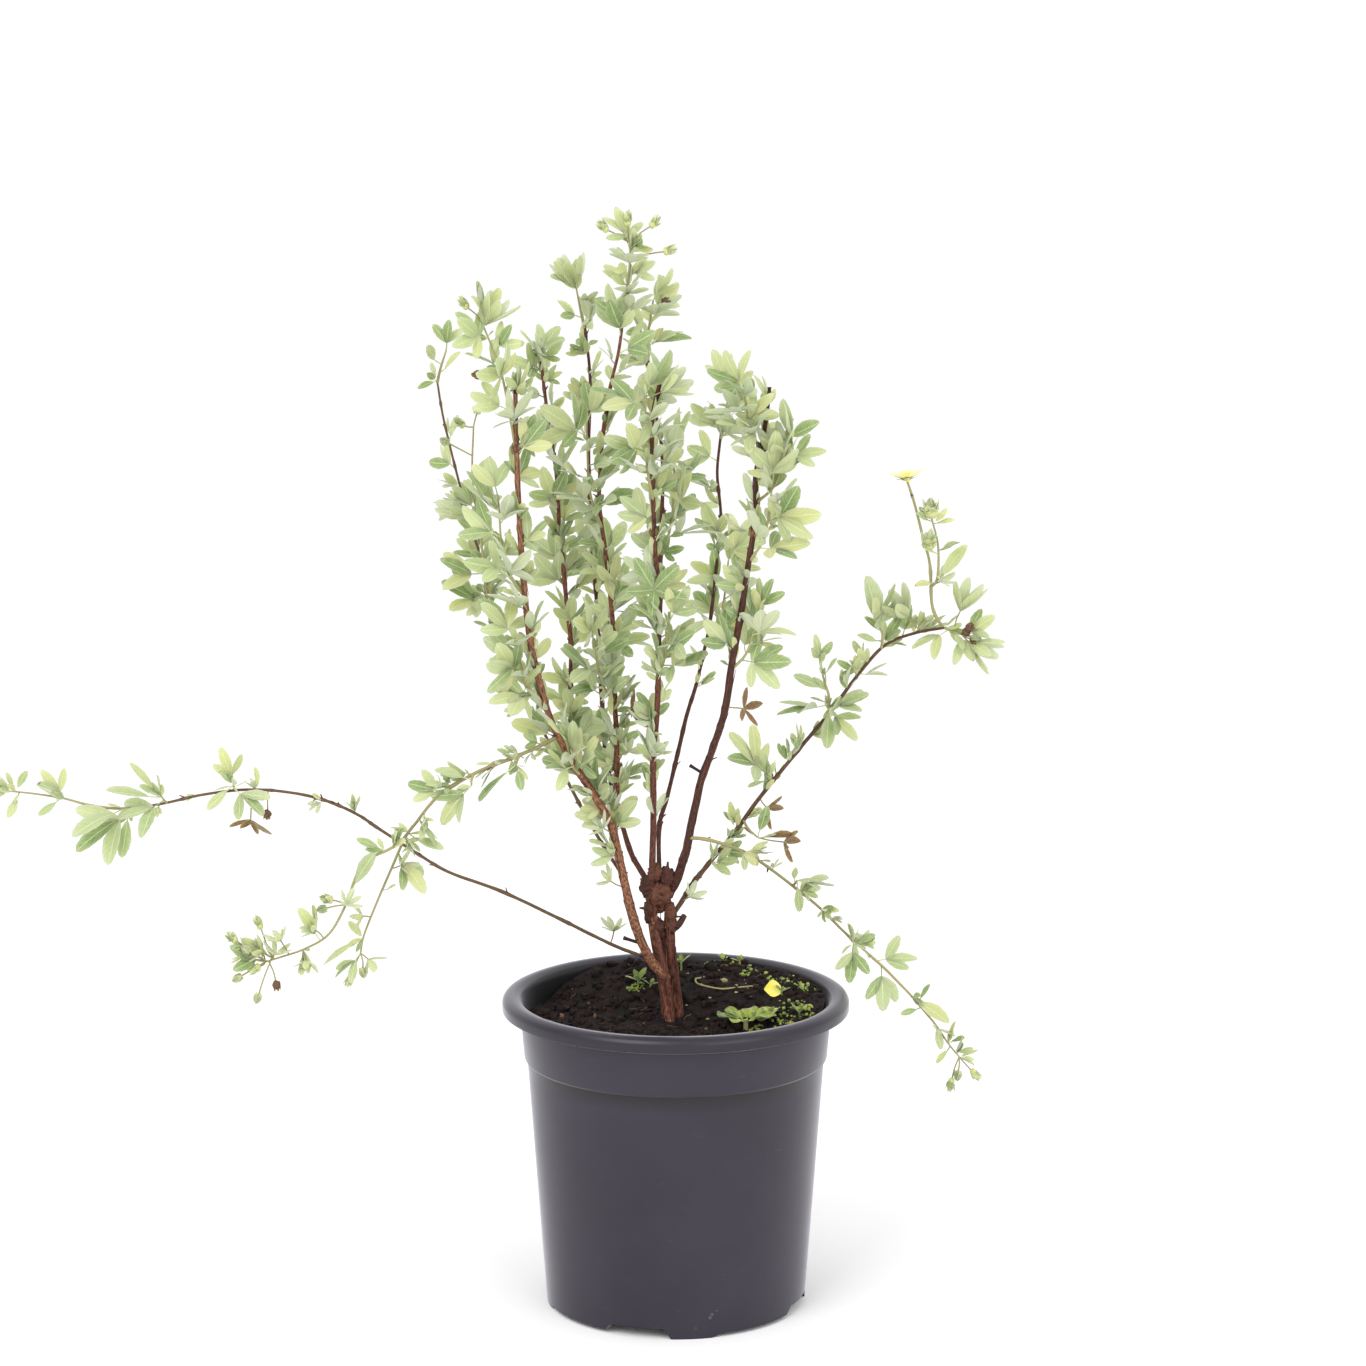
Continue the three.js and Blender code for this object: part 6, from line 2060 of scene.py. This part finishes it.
@dataclass(frozen=True)
class SmallParts:
    """The heads, buds, dead tips, nodes and odd leaves of the stems and shoots."""

    SEPALS, SEPAL_TURN, INNER = 9, 40, 0.8
    SCALES, SCALE_TURN = 7, 51
    CURLED, FLAT = 0.5, 0.1

    lines: dict[str, Line]
    parts: tuple[Oddment, ...] = ODDMENTS

    def build(self, name: str, woody: bool) -> Piece:
        """Makes every small thing that is woody, or every one that is not.

        Args:
            name: The piece's name.
            woody: Whether the dead tips and the nodes are made.

        Returns:
            The piece with all of them.
        """
        piece = Piece(name)
        rng = random.Random(name)
        for part in self.parts:
            if (part.kind in WOODY_ODDITIES) == woody:
                self.place(piece, part, rng)
        return piece

    def place(self, piece: Piece, part: Oddment, rng: random.Random) -> None:
        """Puts one small thing where it grows, on a stalk of its own."""
        line = self.lines[part.carrier]
        base, along = line.at(part.along), line.tangent(part.along)
        off = np.array(part.off, dtype=float)
        tip = base + off
        if part.kind is Oddity.NODE:
            self.node(piece, base, along, rng)
            return
        if part.kind is Oddity.CUT:
            self.cut(piece, base, tip, rng)
            return
        growing = unit(off + along * 2 + UP)
        bow = np.array([rng.uniform(-0.7, 0.7) for _ in range(3)])
        piece.tube(Line([base, (base + tip) / 2 + bow, tip]), tapered(0.4), 5, 5, Bark(),
                   Tint(0.8, 0.1, rng.random()))
        if part.kind in HEADS:
            self.head(piece, HEADS[part.kind], tip, growing, rng)
        else:
            self.leaves(piece, part.kind, tip, growing, rng)

    def head(self, piece: Piece, head: Head, tip: Array, growing: Array,
             rng: random.Random) -> None:
        """Two rings of sepals and a heart at the end of a stalk.

        Args:
            piece: The piece that they join.
            head: The head's sizes and tints.
            tip: The end of the stalk.
            growing: The way that the stalk points.
            rng: The piece's own random numbers.
        """
        across = unit(np.cross(growing, FRONT + UP * 0.2))
        for k in range(self.SEPALS):
            share = self.INNER if k % 2 else 1.0
            out = turned(across, growing, self.SEPAL_TURN * k + rng.uniform(-8, 8))
            side = unit(np.cross(growing, out))
            forward = turned(out, side, -(head.closed + rng.uniform(-12, 12)) * share)
            blade = Blade(head.length * share, head.width, fold=0.3, arch=0.2, point=0.6)
            piece.blade(blade, laid(tip, side, forward, np.cross(side, forward)), Leaf(),
                        Tint(head.tint.youth, head.tint.browned, rng.random()))
        piece.lump(tip + growing * head.lift, head.heart, head.rough, head.finish,
                   head.heart_tint, 2)

    def leaves(self, piece: Piece, kind: Oddity, tip: Array, growing: Array,
               rng: random.Random) -> None:
        """The leaflets of an odd leaf, spread as its kind has them.

        Args:
            piece: The piece that they join.
            kind: The kind of leaf.
            tip: The end of the stalk.
            growing: The way that the stalk points.
            rng: The piece's own random numbers.
        """
        leaf = ODD_LEAVES[kind]
        facing = kind is Oddity.FACING
        axis = unit(FRONT + UP * 0.25) if facing else growing
        across = unit(np.cross(axis, UP if facing else np.array((0.3, 0.9, 0.2))))
        curl = self.CURLED if kind is Oddity.WITHERED else self.FLAT
        for k in range(leaf.leaflets):
            turn = 360 * k / leaf.leaflets + rng.uniform(-14, 14) + (18 if facing else 0)
            side = unit(np.cross(axis, turned(across, axis, turn)))
            forward = turned(axis, side, leaf.spread + rng.uniform(-9, 9))
            up = np.cross(forward, side) if facing else np.cross(side, forward)
            size = leaf.length * rng.uniform(0.85, 1.1)
            blade = Blade(size, size * 0.38, fold=0.3 + curl, arch=-curl * rng.uniform(0.2, 1.0),
                          sweep=rng.uniform(-0.1, 0.1) * (1 + 3 * curl))
            piece.blade(blade, laid(tip, side, forward, up), Leaf(),
                        Tint(leaf.tint.youth, leaf.tint.browned,
                             leaf.tint.share * rng.uniform(0.8, 1.2)))

    def cut(self, piece: Piece, base: Array, tip: Array, rng: random.Random) -> None:
        """A dead dark end that was once cut, a little wider at its top."""
        thick = rng.uniform(0.8, 1.0)
        piece.tube(Line([base, (base + tip) / 2, tip]),
                   lambda share, angle: thick * (1 + 0.35 * eased(share, 0.8, 1.0)), 8, 8, Bark(),
                   Tint(0, 0.85, rng.random()))

    def node(self, piece: Piece, base: Array, along: Array, rng: random.Random) -> None:
        """A swollen node, wrapped in pale brown scales."""
        across = unit(np.cross(along, FRONT + UP * 0.3))
        for k in range(self.SCALES):
            out = turned(across, along, self.SCALE_TURN * k)
            foot = base + out * 1.3 + along * rng.uniform(-2.5, 0.5)
            piece.tube(Line([foot, foot + along * 2 + out, foot + along * 4.4 + out * 0.9]),
                       spindle(1.0, 0.2, 0.75), 6, 5, Bark(),
                       Tint(0.5 * rng.random(), 0.1, rng.random()))

    def dress(self) -> list[bpy.types.Object]:
        """The finished pieces; they stand for no node of the frame."""
        return [self.build("heads_and_odd_leaves", False).finish("foliage", crease=75),
                self.build("dead_tips_and_nodes", True).finish("bark", crease=70)]


@dataclass(frozen=True)
class Sprout:
    """A small green shoot on the soil: its foot, its height, its leaves and their length."""

    at: tuple[float, float]
    height: float
    leaves: int
    length: float
    paleness: float = 0.5


@dataclass(frozen=True)
class SoilGrowth:
    """What grows and lies on the soil: sprouts, moss, pale flecks, a chip and a dead stalk."""

    sprouts: tuple[Sprout, ...] = (
        Sprout((-21, 38), 3.0, 6, 8.0, 0.3),
        Sprout((-14, 34), 2.0, 4, 6.0, 0.3),
        Sprout((3, 47), 7.0, 4, 7.0, 0.9),
        Sprout((51, -21), 3.0, 5, 7.0, 0.6),
        Sprout((67, -26), 3.0, 4, 6.0, 0.7),
        Sprout((58, 2), 2.0, 5, 5.0, 0.7),
        Sprout((70, 8), 2.0, 4, 5.0, 0.8),
        Sprout((27, 70), 2.0, 4, 5.0, 0.9),
        Sprout((36, 66), 2.0, 4, 5.0, 0.8),
    )
    moss: tuple[tuple[float, float, float], ...] = (
        (72, -22, 8.0), (64, -12, 7.0), (58, -28, 7.0), (72, 20, 8.0), (60, 36, 9.0), (44, 52, 8.0),
        (24, 73, 8.0), (44, -32, 6.0), (-22, 36, 5.0),
    )
    stalk: tuple[tuple[float, float, float], ...] = (
        (14, 38, 0.0), (11, 31, 1.6), (13, 22, 2.4), (24.4, 14.2, 2.6), (33, 15, 1.2),
        (42.7, 16.5, 0.4),
    )
    chip: tuple[float, float] = (26.3, 31.8)
    moss_lumps: int = 34
    flecks: int = 46

    def build(self, soil: PottingSoil) -> Piece:
        """Plants the sprouts, pads the moss and drops the flecks and the stalk."""
        piece = Piece("soil_growth")
        rng = random.Random("soil growth")
        for sprout in self.sprouts:
            self.sprout(piece, soil, sprout, rng)
        for x, y, reach in self.moss:
            for _ in range(self.moss_lumps):
                turn, away = rng.uniform(0, 2 * pi), reach * sqrt(rng.random())
                px, py = x + away * cos(turn), y + away * sin(turn)
                if hypot(px, py) > soil.sizes.radius - 3:
                    continue
                size = rng.uniform(0.5, 1.3)
                centre = (px, py, soil.rough_height(px, py) + size * 0.4)
                piece.lump(centre, (size, size, size * 0.8), 0.5, FRESH_LEAF,
                           Tint(rng.uniform(0.2, 1.0), rng.random() * 0.5, rng.random()))
        points = [(x, y, soil.rough_height(x, y) + 0.5 + lift) for x, y, lift in self.stalk]
        piece.tube(Line(points), tapered(0.55, 0.15), 6, 30, Bark(), Tint(0.9, 0.0, 0.5))
        piece.lump((*self.chip, soil.rough_height(*self.chip) + 0.9), (2.6, 1.8, 1.4), 0.4, Bark(),
                   Tint(0.8, 0.1, 0.5), 2)
        for _ in range(self.flecks):
            turn = rng.uniform(-1.3, 1.9)
            away = (soil.sizes.radius - 4) * sqrt(rng.random())
            x, y = away * cos(turn), away * sin(turn)
            size = rng.uniform(0.35, 0.9)
            centre = (x, y, soil.rough_height(x, y) + size * 0.6)
            piece.lump(centre, (size * 1.5, size, size * 0.7), 0.4, Bark(),
                       Tint(rng.uniform(0.5, 1.0), 0, rng.random()))
        return piece

    def sprout(self, piece: Piece, soil: PottingSoil, sprout: Sprout, rng: random.Random) -> None:
        """One small shoot with its leaves held up round its top."""
        x, y = sprout.at
        ground = soil.rough_height(x, y)
        top = np.array((x, y - 0.6, ground + sprout.height))
        piece.tube(Line([(x, y, ground - 1.5), (x, y, ground + sprout.height * 0.5), top]),
                   tapered(0.7, 0.25), 6, 5, FRESH_LEAF, Tint(sprout.paleness, 0, rng.random()))
        for k in range(sprout.leaves):
            forward = heading(360 * k / sprout.leaves + rng.uniform(-25, 25), rng.uniform(22, 60))
            side = unit(np.cross(UP, forward))
            up = np.cross(forward, side)
            size = sprout.length * rng.uniform(0.7, 1.15)
            blade = Blade(size, size * 0.5, fold=0.2, arch=0.1, narrow_foot=0.5)
            piece.blade(blade, laid(top + forward * 0.3, side, forward, up), FRESH_LEAF,
                        Tint(sprout.paleness, 0.0, rng.random()))

    def dress(self, soil: PottingSoil) -> bpy.types.Object:
        """The finished growth; it stands for no node of the frame."""
        return self.build(soil).finish("weed", crease=75)


@dataclass(frozen=True)
class Studio:
    """The pale floor, the soft light and the camera."""

    camera_at: Point = (4.0, -2000.0, 703.0)
    camera_pitch: float = 79.87
    lens: float = 99.17
    sensor: float = 36.0
    floor_size: float = 12.0
    world_light: float = 1.08
    lit_at: Point = (0.0, 0.0, 0.3)

    def build(self) -> None:
        """Sets up the floor, the lights, the world and the camera."""
        mesh = bmesh.new()
        bmesh.ops.create_grid(mesh, x_segments=8, y_segments=8, size=self.floor_size)
        data = bpy.data.meshes.new("studio_floor")
        mesh.to_mesh(data)
        mesh.free()
        data.materials.append(WhiteFloor().material())
        floor = bpy.data.objects.new("studio_floor", data)
        bpy.context.scene.collection.objects.link(floor)
        self.light()
        self.camera()
        bpy.context.scene.view_settings.view_transform = "Standard"

    def light(self) -> None:
        """A white surround and two soft lights."""
        world = bpy.data.worlds.new("surround")
        world.use_nodes = True
        ground = next(n for n in world.node_tree.nodes if n.type == "BACKGROUND")
        ground.inputs["Color"].default_value = (1.0, 1.0, 1.0, 1.0)
        ground.inputs["Strength"].default_value = self.world_light
        bpy.context.scene.world = world
        self.lamp("key", at=(-1.3, -2.0, 2.2), size=1.6, watts=36.0)
        self.lamp("fill", at=(1.6, -2.0, 1.2), size=2.0, watts=22.0)

    def lamp(self, name: str, at: Point, size: float, watts: float) -> None:
        """One soft square light that looks at the plant."""
        data = bpy.data.lights.new(name, "AREA")
        data.size = size
        data.energy = watts
        lamp = bpy.data.objects.new(name, data)
        towards = Vector(self.lit_at) - Vector(at)
        aim = towards.to_track_quat("-Z", "Y").to_matrix().to_4x4()
        lamp.matrix_world = Matrix.Translation(Vector(at)) @ aim
        bpy.context.scene.collection.objects.link(lamp)

    def camera(self) -> None:
        """The photograph's view."""
        data = bpy.data.cameras.new("camera")
        data.lens = self.lens
        data.sensor_width = self.sensor
        camera = bpy.data.objects.new("camera", data)
        camera.location = Vector(self.camera_at) * MM
        camera.rotation_euler = (radians(self.camera_pitch), 0.0, 0.0)
        bpy.context.scene.collection.objects.link(camera)
        bpy.context.scene.camera = camera


AGED = ("arching", "drooping", "long_right", "trailing")


def main() -> None:
    """Builds the studio, the pot and the plant, piece by piece."""
    logging.basicConfig(level=logging.INFO, format="%(message)s")
    Studio().build()
    soil = PottingSoil()
    NurseryPot().dress()
    soil.dress()
    OldWood().dress()
    for name, stem in STEMS.items():
        WoodyStem(name, stem).dress()
    growth = Growth()
    lines = {name: Line(stem.points) for name, stem in STEMS.items()}
    for name, (line, leaves) in growth.grow().items():
        lines[name] = line
        LeafyShoot(name, line, leaves, youth=0.0 if name.startswith(AGED) else 0.3,
                   browned=0.6 if name == "browned_leaves" else 0.0,
                   wild=16.0 if name in RULE_SHOOTS else 0.0).dress()
    for zone in SPUR_ZONES:
        leaves = growth.spurs(zone)
        if leaves:
            SpurLeaves(zone.stem + "_spurs", Line(STEMS[zone.stem].points), leaves, wild=20.0).dress()
    SmallParts(lines).dress()
    SoilGrowth().dress(soil)
    OpenFlower().dress()
    FallenPetal().dress(soil)
    WeedSeedling().dress(soil)


if __name__ == "__main__":
    main()
